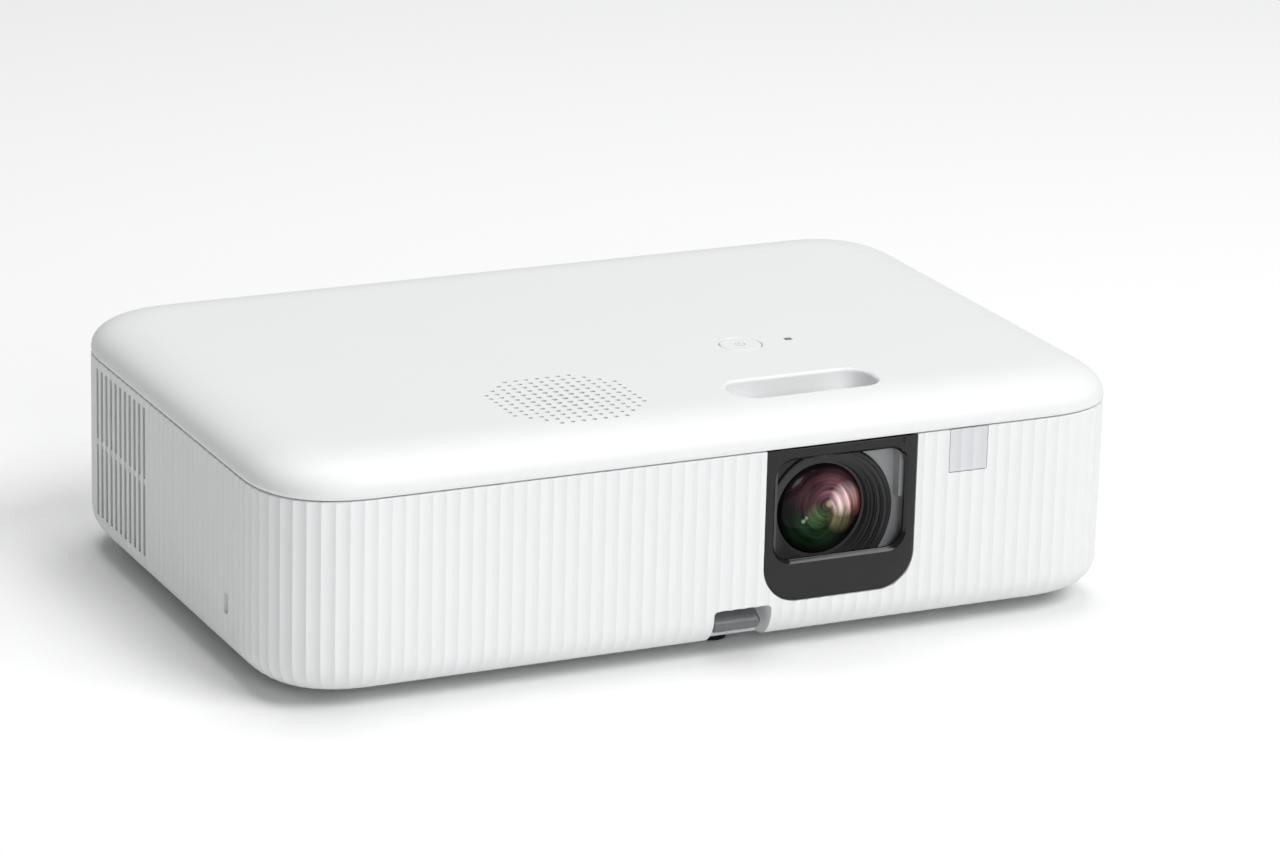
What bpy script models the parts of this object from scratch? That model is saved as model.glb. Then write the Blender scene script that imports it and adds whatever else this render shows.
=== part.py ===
"""Home projector: a low white case with a fluted wall, its optics, fans, boards and feet.

Metres, +Z up. The lens looks along -Y, +X is to the right as someone facing the lens
sees it, and the origin is on the ground under the middle of the case.
"""
import math

import bmesh
import bpy

# ---------------------------------------------------------------- overall sizes
WIDTH = 0.320
DEPTH = 0.211
FOOT_HEIGHT = 0.005          # ground to the floor of the case
CROWN_HEIGHT = 0.0124        # seam to the flat top
CROWN_REACH = 0.025          # how far in from the edge the top goes on curving
CROWN_POWER = 2.36
CORNER_REACH = 0.038         # how far a plan corner runs along each side
CORNER_POWER = 2.6
EDGE_RADIUS = 0.0113         # rounding between the wall and the floor
WALL = 0.0025
GAP = 0.0003                 # between pieces that touch
SEAM_GAP = 0.0006            # groove between the two shells
CORNER_STEPS = 8
CROWN_STEPS = 6
EDGE_STEPS = 4

# ---------------------------------------------------------------- the stack that sets the height
NOTCH_HEIGHT = 0.0133        # floor of the case to the top of the lever's notch
LINER_WALL = 0.0018          # wall round the notch, inside the case
HOOD_CLEARANCE = 0.0015      # notch wall to the lens hood above it
HOOD_RADIUS = 0.024
BARREL_RADIUS = HOOD_RADIUS + 0.0015
RING_RADIUS = BARREL_RADIUS + 0.0055
RING_SHOWS = 0.0005          # focus ring's crown above the floor of the finger recess
RECESS_SINK = 0.010          # depth of the finger recess

LEFT = -WIDTH / 2
RIGHT = WIDTH / 2
FRONT = -DEPTH / 2
BACK = DEPTH / 2
FLOOR = FOOT_HEIGHT
LENS_X = RIGHT - 0.1155
LENS_Z = FLOOR + NOTCH_HEIGHT + LINER_WALL + HOOD_CLEARANCE + HOOD_RADIUS
RECESS_FLOOR = LENS_Z + RING_RADIUS - RING_SHOWS
TOP = RECESS_FLOOR + RECESS_SINK
SEAM = TOP - CROWN_HEIGHT
CASE_RIM = SEAM - SEAM_GAP / 2
COVER_RIM = SEAM + SEAM_GAP / 2
INNER_FLOOR = FLOOR + WALL
INNER_TOP = TOP - WALL

# ---------------------------------------------------------------- lens and its window
GLASS_RADIUS = 0.016
GLASS_SETBACK = 0.0155       # front plane to the rim of the front glass
GLASS_DOME = 0.0045          # height of its curved face
GLASS_EDGE = 0.005           # thickness at its rim
REAR_GLASS_EDGE = 0.004
CELL_LENGTH = 0.034
HOOD_SETBACK = 0.007
HOOD_LENGTH = 0.005
BARREL_WALL = 0.0028
BARREL_SETBACK = 0.0155
BARREL_LENGTH = 0.045
FLANGE_WIDTH = 0.006         # bolts the barrel to the engine
FLANGE_THICKNESS = 0.003
FOCUS_TRAVEL = 0.0008        # each way from rest
RING_SETBACK = 0.0323
RING_WIDTH = 0.006
RING_CLEARANCE = 0.0004      # each side of the ring in the recess floor

BEZEL_LEFT = LENS_X - HOOD_RADIUS - 0.0037
BEZEL_RIGHT = LENS_X + HOOD_RADIUS + 0.0055
BEZEL_BOTTOM = LENS_Z - HOOD_RADIUS - 0.0028
BEZEL_CORNER = 0.0130
BEZEL_THICKNESS = 0.0024
WINDOW_LEFT = LENS_X - HOOD_RADIUS - 0.0001
WINDOW_RIGHT = LENS_X + HOOD_RADIUS + 0.0017
WINDOW_BOTTOM = LENS_Z - 0.0122
WINDOW_TOP = LENS_Z + HOOD_RADIUS - 0.0005
WINDOW_CORNER = 0.0075

# ---------------------------------------------------------------- shutter
BLADE_SETBACK = 0.0036
BLADE_THICKNESS = 0.0012
BLADE_EDGE = WINDOW_LEFT + 0.0020     # leading edge while the shutter is open
BLADE_TRAVEL = WINDOW_RIGHT - BLADE_EDGE - 0.0018
BLADE_WIDTH = WINDOW_RIGHT - WINDOW_LEFT + 0.0010
BLADE_MARGIN = 0.0026                 # beyond the window, above and below
BLADE_BOTTOM = WINDOW_BOTTOM - BLADE_MARGIN
BLADE_TOP = WINDOW_TOP + 0.0019
LENS_FRAME_SETBACK = 0.008
LENS_FRAME_THICKNESS = 0.002
STOP_WIDTH = 0.0025                   # rib that ends the blade's travel
RAIL_HEIGHT = 0.0026
SHELF_LIFT = 0.0010                   # blade to the shelf that carries its stem
SHELF_THICKNESS = 0.0014

# ---------------------------------------------------------------- finger recess in the top
RECESS_LENGTH = BLADE_TRAVEL + 0.0076 # the knob's travel and a fingertip's room at its ends
RECESS_DEPTH = 0.0203                 # front to back
RECESS_SLOPE = 0.0018                 # how much narrower its floor is, each side
RECESS_SETBACK = 0.0311               # front plane to the middle of the recess
RECESS_CORNER = 0.0085
RECESS_X = LENS_X - 0.0001
RECESS_Y = FRONT + RECESS_SETBACK
KNOB_WIDTH = 0.0026
KNOB_HEIGHT = 0.0030
KNOB_LIFT = 0.0008                    # recess floor to the underside of the knob
KNOB_CLEARANCE = 0.0005               # knob slot beyond the stem at each end
STEM_WIDTH = 0.0018
STEM_LENGTH = 0.0018
STEM_SETBACK = 0.0273

# ---------------------------------------------------------------- small front and top details
RECEIVER_X = BEZEL_RIGHT + 0.0200
RECEIVER_WIDTH = 0.01445
RECEIVER_HEIGHT = 0.0156
BUTTON_X = LENS_X + 0.0003
BUTTON_Y = FRONT + 0.0798
BUTTON_RADIUS = 0.0075
BUTTON_TRAVEL = 0.0008
BUTTON_FLANGE = 0.0011       # keeps the cap under the cover
BUTTON_FLANGE_THICKNESS = 0.0013
BUTTON_STEM_RADIUS = 0.003
BUTTON_STEM_LENGTH = 0.0034
SWITCH_SIZE = 0.006
SWITCH_HEIGHT = 0.002
BUTTON_BOARD_REACH = 0.012
BUTTON_BOARD_HALF = 0.010
LIGHT_X = BUTTON_X + 0.0187
LIGHT_SIZE = 0.0022
SPEAKER_X = LEFT + 0.1204
SPEAKER_Y = FRONT + 0.0430
SPEAKER_RADIUS = 0.0275
SPEAKER_HEIGHT = 0.022
MAGNET_RADIUS = 0.014
MAGNET_HEIGHT = 0.010

# ---------------------------------------------------------------- foot and lever
FOOT_X = LENS_X - HOOD_RADIUS - 0.0113
FOOT_Y = FRONT + 0.0255
FOOT_TRAVEL = 0.030
SOLE_RADIUS = 0.006
SOLE_THICKNESS = 0.0016
POST_SIZE = 0.009
POST_HEIGHT = FOOT_TRAVEL + 0.013      # keeps the post in its sleeve when it is all the way down
SLEEVE_WALL = 0.0015
SLEEVE_HEIGHT = 0.030
NOTCH_WIDTH = 0.0216
NOTCH_DEPTH = 0.0123
NOTCH_CORNER = 0.0015
LEVER_WIDTH = 0.0190
LEVER_SHIFT = 0.0009                  # the bar sits left of the middle of its notch
LEVER_PIVOT_SETBACK = 0.0166
LEVER_PIVOT_Z = FLOOR + 0.0072
PIN_RADIUS = 0.0009
LUG_SIZE = 0.0024                     # of the two lugs that hold the pin
LEVER_BAR_SETBACK = 0.0026
LEVER_BAR_DEPTH = 0.0074
LEVER_BAR_LOW = FLOOR + 0.0043
LEVER_BAR_HEIGHT = 0.0069
LEVER_CHAMFER_DROP = 0.0016
LEVER_CHAMFER_DEPTH = 0.0032
LEVER_ARM_HALF = 0.0032
LEVER_ARM_THICKNESS = 0.0028
LEVER_HUB_RADIUS = 0.0019
REAR_FOOT_X = WIDTH / 2 - 0.042
REAR_FOOT_Y = BACK - 0.0215
REAR_FOOT_RADIUS = 0.008
REAR_FOOT_BEVEL = 0.001

# ---------------------------------------------------------------- vents, filter, rear panel
FLUTE_PITCH = 0.00487
VENT_COUNT = 11
VENT_WIDTH = 0.0024
VENT_FIRST_Y = BACK - 0.0806
VENT_MIDDLE_Y = VENT_FIRST_Y + (VENT_COUNT - 1) / 2 * FLUTE_PITCH
VENT_BOTTOM = FLOOR + 0.0108
VENT_TOP = SEAM - 0.0035
VENT_RIB = 0.0022
LOCK_SLOT_Y = FRONT + 0.0500
LOCK_SLOT_Z = FLOOR + 0.0203
LOCK_SLOT_WIDTH = 0.003
LOCK_SLOT_HEIGHT = 0.0075
FILTER_LENGTH = 0.100
FILTER_HEIGHT = 0.046
FILTER_Y = 0.005
FILTER_Z = FLOOR + 0.036
FILTER_SLOTS = 19
FILTER_BORDER = 0.003
FILTER_PAD_THICKNESS = 0.006
FILTER_PAD_MARGIN = 0.002
PANEL_LEFT = LENS_X - 0.1345
PANEL_RIGHT = LENS_X + 0.0255
PANEL_BOTTOM = FLOOR + 0.012
PANEL_TOP = FLOOR + 0.050
PANEL_RECESS = 0.0015
PANEL_THICKNESS = 0.0018
INLET_X = PANEL_LEFT + 0.032
INLET_WIDTH = 0.0275
INLET_HEIGHT = 0.0205
INLET_LENGTH = 0.020
INLET_WALL = 0.0014
INLET_BACK_WALL = 0.004
INLET_PIN_PITCH = 0.0065
INLET_PIN_STEP = 0.002       # the middle pin stands above the outer two by twice this
INLET_PIN_WIDTH = 0.002
INLET_PIN_HEIGHT = 0.004
INLET_PIN_SETBACK = 0.005
HDMI_WIDTH = 0.0150
HDMI_HEIGHT = 0.0062
USB_WIDTH = 0.0143
USB_HEIGHT = 0.0070
SERVICE_WIDTH = 0.0092
SERVICE_HEIGHT = 0.0066
SOCKET_LENGTH = 0.014
SOCKET_WALL = 0.0005
SOCKET_BACK_WALL = 0.002
SOCKET_DROP = 0.004          # middle of the panel to the middle of its sockets
TONGUE_THICKNESS = 0.0012
TONGUE_MARGIN = 0.0025
TONGUE_SETBACK = 0.0058
BOARD_THICKNESS = 0.0016
POWER_BOARD_LIFT = 0.0045
BALLAST_HEIGHT = 0.030

# ---------------------------------------------------------------- inside
ENGINE_FRONT = FRONT + BARREL_SETBACK + BARREL_LENGTH + GAP
ENGINE_BACK = ENGINE_FRONT + 0.082
ENGINE_LEFT = LENS_X - 0.038
ENGINE_RIGHT = LENS_X + 0.068
ENGINE_LOW = INNER_FLOOR + 0.012
ENGINE_HIGH = LENS_Z + 0.0206
ENGINE_PORT_RADIUS = 0.012
PRISM_SETBACK = 0.022        # end of the barrel to the middle of the prism
FAN_SIZE = 0.060
FAN_THICKNESS = 0.015
FAN_HUB_RADIUS = 0.016
FAN_BLADES = 7
BLOWER_ROTOR_RADIUS = 0.014
BLOWER_BLADES = 12
BLOWER_HALF = 0.018
BLOWER_HEIGHT = 0.015
BLOWER_LIFT = 0.0065
BLOWER_WALL = 0.0015
BLOWER_HUB_RADIUS = 0.008
FAN_WALL = 0.002
FAN_TIP_CLEARANCE = 0.0012
FAN_SPIDER = 0.0015
FAN_HUB_FRONT = 0.0023
FAN_BLADE_TWIST = 0.45
FAN_BLADE_SWEEP = 0.06
EXHAUST_SETBACK = 0.0055     # left wall to the fan frame
INTAKE_SETBACK = 0.005       # filter pad to the fan frame
LAMP_SIZE = 0.060
LAMP_WALL = 0.002
LAMP_LIFT = 0.0035
LAMP_VENT_RADIUS = 0.016
REFLECTOR_SETBACK = 0.012
PRISM_SIZE = 0.022
LCD_THICKNESS = 0.003
LCD_GAP = 0.0008
SCREW_HEAD_RADIUS = 0.0032
SCREW_HEAD_HEIGHT = 0.0020
SCREW_SHANK_RADIUS = 0.0014
SCREW_LENGTH = 0.015
SCREW_SINK = 0.0007          # floor of the case to the head
SCREW_HEAD_ROOM = SCREW_HEAD_HEIGHT + 0.0010
BOSS_RADIUS = 0.0055
BOSS_HEIGHT = 0.030
CEILING_HOLE_RADIUS = 0.002
CEILING_HOLE_DEPTH = 0.008

# ---------------------------------------------------------------- colours
WHITE = (0.80, 0.81, 0.82)
PALE_GREY = (0.50, 0.51, 0.52)
MID_GREY = (0.19, 0.19, 0.20)
DARK_GREY = (0.06, 0.06, 0.065)
BLACK = (0.012, 0.012, 0.013)
BOARD_GREEN = (0.02, 0.12, 0.06)
STEEL = (0.55, 0.56, 0.57)
COATED_GLASS = (0.10, 0.05, 0.07)


# ---------------------------------------------------------------- shape helpers
def material(name, colour, roughness, metallic):
    """A plain Principled material of one colour."""
    result = bpy.data.materials.new(name)
    result.use_nodes = True
    shader = result.node_tree.nodes["Principled BSDF"]
    shader.inputs["Base Color"].default_value = (*colour, 1.0)
    shader.inputs["Roughness"].default_value = roughness
    shader.inputs["Metallic"].default_value = metallic
    return result


def add_object(name, mesh_builder, colour, place=(0, 0, 0), turn=(0, 0, 0),
               roughness=0.5, metallic=0.0):
    """Link a closed mesh as one named sub-part, with its faces pointing out."""
    bmesh.ops.recalc_face_normals(mesh_builder, faces=mesh_builder.faces)
    mesh = bpy.data.meshes.new(name)
    mesh_builder.to_mesh(mesh)
    mesh_builder.free()
    mesh.materials.append(material(name, colour, roughness, metallic))
    result = bpy.data.objects.new(name, mesh)
    result.location = place
    result.rotation_euler = turn
    bpy.context.collection.objects.link(result)
    return result


def cutter(name, mesh_builder, place=(0, 0, 0), turn=(0, 0, 0)):
    """A helper solid that only shapes other pieces."""
    result = add_object(name, mesh_builder, BLACK, place, turn)
    result.hide_render = True
    result.display_type = "WIRE"
    return result


def apply_solid(target, other, operation):
    """Cut, join or intersect a piece with a helper solid."""
    change = target.modifiers.new(other.name, "BOOLEAN")
    change.operation = operation
    change.object = other


def cut(target, *others):
    for other in others:
        apply_solid(target, other, "DIFFERENCE")


def join(target, *others):
    for other in others:
        apply_solid(target, other, "UNION")


def box(low, high):
    """A rectangular block between two corners."""
    result = bmesh.new()
    add_box(result, low, high)
    return result


def add_box(builder, low, high):
    corners = []
    for z in (low[2], high[2]):
        for x, y in ((low[0], low[1]), (high[0], low[1]), (high[0], high[1]), (low[0], high[1])):
            corners.append(builder.verts.new((x, y, z)))
    for a, b, c, d in ((0, 3, 2, 1), (4, 5, 6, 7), (0, 1, 5, 4), (1, 2, 6, 5), (2, 3, 7, 6), (3, 0, 4, 7)):
        builder.faces.new((corners[a], corners[b], corners[c], corners[d]))


def boxes(corner_pairs):
    """Several separate blocks in one mesh, for a row of cuts."""
    result = bmesh.new()
    for low, high in corner_pairs:
        add_box(result, low, high)
    return result


def loft(loops):
    """Skin between loops of equal length, closed by a face at each end."""
    result = bmesh.new()
    rings = []
    for loop in loops:
        rings.append([result.verts.new(point) for point in loop])
    for lower, upper in zip(rings, rings[1:]):
        for i in range(len(lower)):
            j = (i + 1) % len(lower)
            result.faces.new((lower[i], lower[j], upper[j], upper[i]))
    result.faces.new(list(reversed(rings[0])))
    result.faces.new(rings[-1])
    return result


def turned(profile, steps=24):
    """A closed outline of (radius, height) points turned about local Z.

    Points at radius 0 are poles.
    """
    result = bmesh.new()
    columns = []
    for radius, height in profile:
        if radius == 0:
            pole = result.verts.new((0, 0, height))
            columns.append([pole] * steps)
        else:
            column = []
            for i in range(steps):
                angle = 2 * math.pi * i / steps
                column.append(result.verts.new((radius * math.cos(angle), radius * math.sin(angle), height)))
            columns.append(column)
    for a, b in zip(columns, columns[1:] + columns[:1]):
        for i in range(steps):
            j = (i + 1) % steps
            corners = list(dict.fromkeys((a[i], a[j], b[j], b[i])))
            if len(corners) > 2:
                result.faces.new(corners)
    return result


def disc(radius, bottom, top, steps=24):
    """A plain round bar about local Z."""
    return turned([(0, bottom), (radius, bottom), (radius, top), (0, top)], steps)


def rounded_rectangle(left, right, low, high, corners, steps=5):
    """Outline of a rectangle with its four corner radii: left-low, right-low, right-high, left-high."""
    centres = ((left, low, 1, 1, 2), (right, low, -1, 1, 3), (right, high, -1, -1, 0), (left, high, 1, -1, 1))
    points = []
    for (x, y, sx, sy, quarter), radius in zip(centres, corners):
        if radius == 0:
            points.append((x, y))
            continue
        for step in range(steps + 1):
            angle = (quarter + step / steps) * math.pi / 2
            points.append((x + radius * (sx + math.cos(angle)), y + radius * (sy + math.sin(angle))))
    return points


def plate_facing_front(outline, front, back):
    """A plate whose outline is in X and Z."""
    return loft([[(x, front, z) for x, z in outline], [(x, back, z) for x, z in outline]])


def plan_loop(inset, height):
    """The plan of the case at one height: straight sides and superellipse corners."""
    half_width = WIDTH / 2 - inset
    half_depth = DEPTH / 2 - inset
    reach = CORNER_REACH - inset
    points = []
    for quarter in range(4):
        for step in range(CORNER_STEPS + 1):
            angle = (quarter + step / CORNER_STEPS) * math.pi / 2
            across = math.cos(angle)
            along = math.sin(angle)
            side_x = 1 if quarter in (0, 3) else -1
            side_y = 1 if quarter in (0, 1) else -1
            x = side_x * (half_width - reach + reach * abs(across) ** (2 / CORNER_POWER))
            y = side_y * (half_depth - reach + reach * abs(along) ** (2 / CORNER_POWER))
            points.append((x, y, height))
    return points


def crown_loops(inset, rim, top):
    """Loops from the cover's rim up to the edge of its flat top."""
    loops = []
    for step in range(CROWN_STEPS + 1):
        angle = step / CROWN_STEPS * math.pi / 2
        inward = CROWN_REACH
        if step < CROWN_STEPS:
            inward = CROWN_REACH * (1 - math.cos(angle) ** (2 / CROWN_POWER))
        rise = math.sin(angle) ** (2 / CROWN_POWER) if step else 0
        loops.append(plan_loop(inset + inward, rim + (top - rim) * rise))
    return loops


def floor_loops(inset, floor, radius):
    """Loops from the floor, round the bottom edge, to the upright wall."""
    loops = []
    for step in range(EDGE_STEPS + 1):
        angle = step / EDGE_STEPS * math.pi / 2
        inward = radius * (1 - math.sin(angle))
        loops.append(plan_loop(inset + inward, floor + radius * (1 - math.cos(angle))))
    return loops


FACE_BACK = (-math.pi / 2, 0, 0)      # local Z to world +Y
FACE_RIGHT = (0, math.pi / 2, 0)      # local Z to world +X


# ---------------------------------------------------------------- case shells
def build_lower_case():
    """The tray: floor, fluted wall envelope and the lip that the cover drops over."""
    lip_outer = WALL + 0.0007
    lip_inner = lip_outer + 0.0012
    lip_top = CASE_RIM + 0.0019
    lip_root = CASE_RIM - 0.0012
    outer = floor_loops(0, FLOOR, EDGE_RADIUS)
    outer.append(plan_loop(0, CASE_RIM))
    outer.append(plan_loop(lip_outer, CASE_RIM))
    outer.append(plan_loop(lip_outer, lip_top))
    case = add_object("lower_case", loft(outer), WHITE, roughness=0.55)
    inner = floor_loops(WALL, INNER_FLOOR, EDGE_RADIUS - WALL)
    inner.append(plan_loop(WALL, lip_root))
    inner.append(plan_loop(lip_inner, lip_root))
    inner.append(plan_loop(lip_inner, lip_top + WALL))
    hollow = cutter("case_hollow", loft(inner))
    notch_left = FOOT_X - NOTCH_WIDTH / 2
    notch_right = FOOT_X + NOTCH_WIDTH / 2
    notch_top = FLOOR + NOTCH_HEIGHT
    notch_back = FRONT + NOTCH_DEPTH
    liner = cutter("notch_liner", box(
        (notch_left - LINER_WALL, FRONT - WALL, FLOOR - WALL),
        (notch_right + LINER_WALL, notch_back + LINER_WALL, notch_top + LINER_WALL)))
    cut(hollow, liner)
    for index, (x, y) in enumerate(screw_points()):
        boss = cutter(f"boss_{index}", disc(
            BOSS_RADIUS, FLOOR - WALL, INNER_FLOOR + BOSS_HEIGHT, 10), (x, y, 0))
        cut(hollow, boss)
    for index, (x, y) in enumerate(ceiling_points()):
        boss = cutter(f"ceiling_boss_{index}", disc(
            BOSS_RADIUS, FLOOR - WALL, FLOOR + CEILING_HOLE_DEPTH + WALL, 10), (x, y, 0))
        cut(hollow, boss)
    cut(case, hollow)
    notch_outline = rounded_rectangle(
        notch_left, notch_right, FLOOR - EDGE_RADIUS, notch_top, (0, 0, NOTCH_CORNER, NOTCH_CORNER), 3)
    cut(case, cutter("notch", plate_facing_front(notch_outline, FRONT - WALL, notch_back)))
    cut(case, cutter("lever_slot", box(
        (FOOT_X - 0.0038, notch_back - WALL, LEVER_PIVOT_Z - 0.0035),
        (FOOT_X + 0.0038, notch_back + 2 * LINER_WALL, LEVER_PIVOT_Z + 0.0047))))
    opening = rounded_rectangle(
        BEZEL_LEFT - GAP, BEZEL_RIGHT + GAP, BEZEL_BOTTOM - GAP, TOP,
        (BEZEL_CORNER + GAP, BEZEL_CORNER + GAP, 0, 0))
    cut(case, cutter("bezel_opening", plate_facing_front(opening, FRONT - WALL, FRONT + 2.2 * WALL)))
    cut(case, cutter("receiver_opening", box(
        (RECEIVER_X - RECEIVER_WIDTH / 2 - GAP, FRONT - WALL, SEAM - RECEIVER_HEIGHT - GAP),
        (RECEIVER_X + RECEIVER_WIDTH / 2 + GAP, FRONT + 1.06 * WALL, TOP))))
    cut(case, cutter("left_vents", boxes(left_vent_blocks())))
    cut(case, cutter("lock_slot", box(
        (LEFT - WALL, LOCK_SLOT_Y - LOCK_SLOT_WIDTH / 2, LOCK_SLOT_Z - LOCK_SLOT_HEIGHT / 2),
        (LEFT + 2 * WALL, LOCK_SLOT_Y + LOCK_SLOT_WIDTH / 2, LOCK_SLOT_Z + LOCK_SLOT_HEIGHT / 2))))
    cut(case, cutter("filter_opening", box(
        (RIGHT - 2 * WALL, FILTER_Y - FILTER_LENGTH / 2 - GAP, FILTER_Z - FILTER_HEIGHT / 2 - GAP),
        (RIGHT + WALL, FILTER_Y + FILTER_LENGTH / 2 + GAP, FILTER_Z + FILTER_HEIGHT / 2 + GAP))))
    cut(case, cutter("panel_opening", box(
        (PANEL_LEFT - GAP, BACK - 2 * WALL, PANEL_BOTTOM - GAP),
        (PANEL_RIGHT + GAP, BACK + WALL, PANEL_TOP + GAP))))
    post_hole = POST_SIZE / 2 + GAP
    cut(case, cutter("post_hole", box(
        (FOOT_X - post_hole, FOOT_Y - post_hole, FLOOR - WALL),
        (FOOT_X + post_hole, FOOT_Y + post_hole, INNER_FLOOR + WALL))))
    lamp_x, lamp_y = lamp_place()
    door = LAMP_SIZE / 2 - LAMP_WALL
    cut(case, cutter("lamp_opening", box(
        (lamp_x - door, lamp_y - door, FLOOR - WALL), (lamp_x + door, lamp_y + door, INNER_FLOOR + WALL))))
    for index, (x, y) in enumerate(screw_points()):
        shape = turned([
            (0, FLOOR - WALL), (SCREW_HEAD_RADIUS + GAP, FLOOR - WALL),
            (SCREW_HEAD_RADIUS + GAP, FLOOR + SCREW_HEAD_ROOM),
            (SCREW_SHANK_RADIUS + GAP, FLOOR + SCREW_HEAD_ROOM),
            (SCREW_SHANK_RADIUS + GAP, FLOOR + SCREW_HEAD_ROOM + SCREW_LENGTH + GAP),
            (0, FLOOR + SCREW_HEAD_ROOM + SCREW_LENGTH + GAP)], 10)
        cut(case, cutter(f"screw_hole_{index}", shape, (x, y, 0)))
    for index, (x, y) in enumerate(ceiling_points()):
        hole = disc(CEILING_HOLE_RADIUS, FLOOR - WALL, FLOOR + CEILING_HOLE_DEPTH, 12)
        cut(case, cutter(f"ceiling_hole_{index}", hole, (x, y, 0)))


def left_vent_blocks():
    """Two rows of upright slots in the left wall, one slot to a flute."""
    middle = (VENT_BOTTOM + VENT_TOP) / 2
    blocks = []
    for index in range(VENT_COUNT):
        y = VENT_FIRST_Y + index * FLUTE_PITCH
        front = y - VENT_WIDTH / 2
        back = y + VENT_WIDTH / 2
        for low, high in ((VENT_BOTTOM, middle - VENT_RIB / 2), (middle + VENT_RIB / 2, VENT_TOP)):
            blocks.append(((LEFT - WALL, front, low), (LEFT + 2 * WALL, back, high)))
    return blocks


def screw_points():
    """The four screws that hold the cover to the tray."""
    x = WIDTH / 2 - 0.022
    y = DEPTH / 2 - 0.0175
    return ((-x, -y), (x, -y), (-x, y), (x, y))


def ceiling_points():
    """The three ceiling-mount holes in the floor."""
    fan_clear = VENT_MIDDLE_Y - FAN_SIZE / 2 - 0.01925
    return ((RIGHT - 0.045, FRONT + 0.0355), (RIGHT - 0.065, BACK - 0.0415), (LEFT + 0.022, fan_clear))


def build_top_cover():
    """The smooth crowned cover, with the finger recess sunk into it."""
    cover = add_object("top_cover", loft(crown_loops(0, COVER_RIM, TOP)), WHITE, roughness=0.5)
    hollow_loops = [plan_loop(WALL, COVER_RIM - WALL)] + crown_loops(WALL, COVER_RIM, INNER_TOP)
    hollow = cutter("cover_hollow", loft(hollow_loops))
    basin = cutter("recess_basin", loft(recess_loops(WALL, RECESS_FLOOR - 0.002, TOP + WALL)))
    cut(hollow, basin)
    cut(cover, hollow)
    cut(cover, cutter("recess", loft(recess_loops(0, RECESS_FLOOR, TOP + WALL))))
    ring_middle = FRONT + RING_SETBACK + RING_WIDTH / 2
    ring_half = RING_WIDTH / 2 + RING_CLEARANCE
    chord = math.sqrt(RING_RADIUS ** 2 - (RECESS_FLOOR - 0.002 - LENS_Z) ** 2) + 0.0012
    cut(cover, cutter("ring_window", box(
        (LENS_X - chord, ring_middle - ring_half, RECESS_FLOOR - 2 * WALL),
        (LENS_X + chord, ring_middle + ring_half, RECESS_FLOOR + RING_CLEARANCE))))
    stem_left = BLADE_EDGE - STEM_WIDTH
    stem_y = FRONT + STEM_SETBACK
    cut(cover, cutter("knob_slot", box(
        (stem_left - KNOB_CLEARANCE, stem_y - 2 * GAP, RECESS_FLOOR - 2 * WALL),
        (BLADE_EDGE + BLADE_TRAVEL + KNOB_CLEARANCE, stem_y + STEM_LENGTH + 2 * GAP,
         RECESS_FLOOR + RING_CLEARANCE))))
    cut(cover, cutter("button_hole", disc(BUTTON_RADIUS + GAP, INNER_TOP - WALL, TOP + WALL, 32),
                      (BUTTON_X, BUTTON_Y, 0)))
    light = LIGHT_SIZE / 2 + GAP
    cut(cover, cutter("light_hole", box(
        (LIGHT_X - light, BUTTON_Y - light, INNER_TOP - WALL),
        (LIGHT_X + light, BUTTON_Y + light, TOP + WALL))))


def recess_loops(margin, bottom, top):
    """A tapered basin: its outline widens from the floor up to the top face."""
    loops = []
    for height in (bottom, top):
        widen = (height - RECESS_FLOOR) / RECESS_SINK * RECESS_SLOPE - RECESS_SLOPE + margin
        half_x = RECESS_LENGTH / 2 + widen
        half_y = RECESS_DEPTH / 2 + widen
        radius = RECESS_CORNER + widen
        outline = rounded_rectangle(
            RECESS_X - half_x, RECESS_X + half_x, RECESS_Y - half_y, RECESS_Y + half_y, (radius,) * 4)
        loops.append([(x, y, height) for x, y in outline])
    return loops


def build_trim():
    """The black lens surround and the infrared window beside it."""
    outline = rounded_rectangle(
        BEZEL_LEFT, BEZEL_RIGHT, BEZEL_BOTTOM, CASE_RIM, (BEZEL_CORNER, BEZEL_CORNER, 0, 0), 6)
    bezel = add_object("lens_bezel", plate_facing_front(outline, FRONT, FRONT + BEZEL_THICKNESS), BLACK,
                       roughness=0.12)
    window = rounded_rectangle(
        WINDOW_LEFT, WINDOW_RIGHT, WINDOW_BOTTOM, WINDOW_TOP, (WINDOW_CORNER,) * 4, 5)
    cut(bezel, cutter("lens_window", plate_facing_front(window, FRONT - WALL, FRONT + 2 * WALL)))
    add_object("receiver_window", box(
        (RECEIVER_X - RECEIVER_WIDTH / 2, FRONT, SEAM - RECEIVER_HEIGHT),
        (RECEIVER_X + RECEIVER_WIDTH / 2, FRONT + WALL, CASE_RIM)), PALE_GREY, roughness=0.35)
    behind = FRONT + WALL + 0.0008
    add_object("receiver_board", box(
        (RECEIVER_X - RECEIVER_WIDTH / 2, behind, SEAM - RECEIVER_HEIGHT),
        (RECEIVER_X + RECEIVER_WIDTH / 2, behind + BOARD_THICKNESS, SEAM - 0.004)), BOARD_GREEN)


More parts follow.
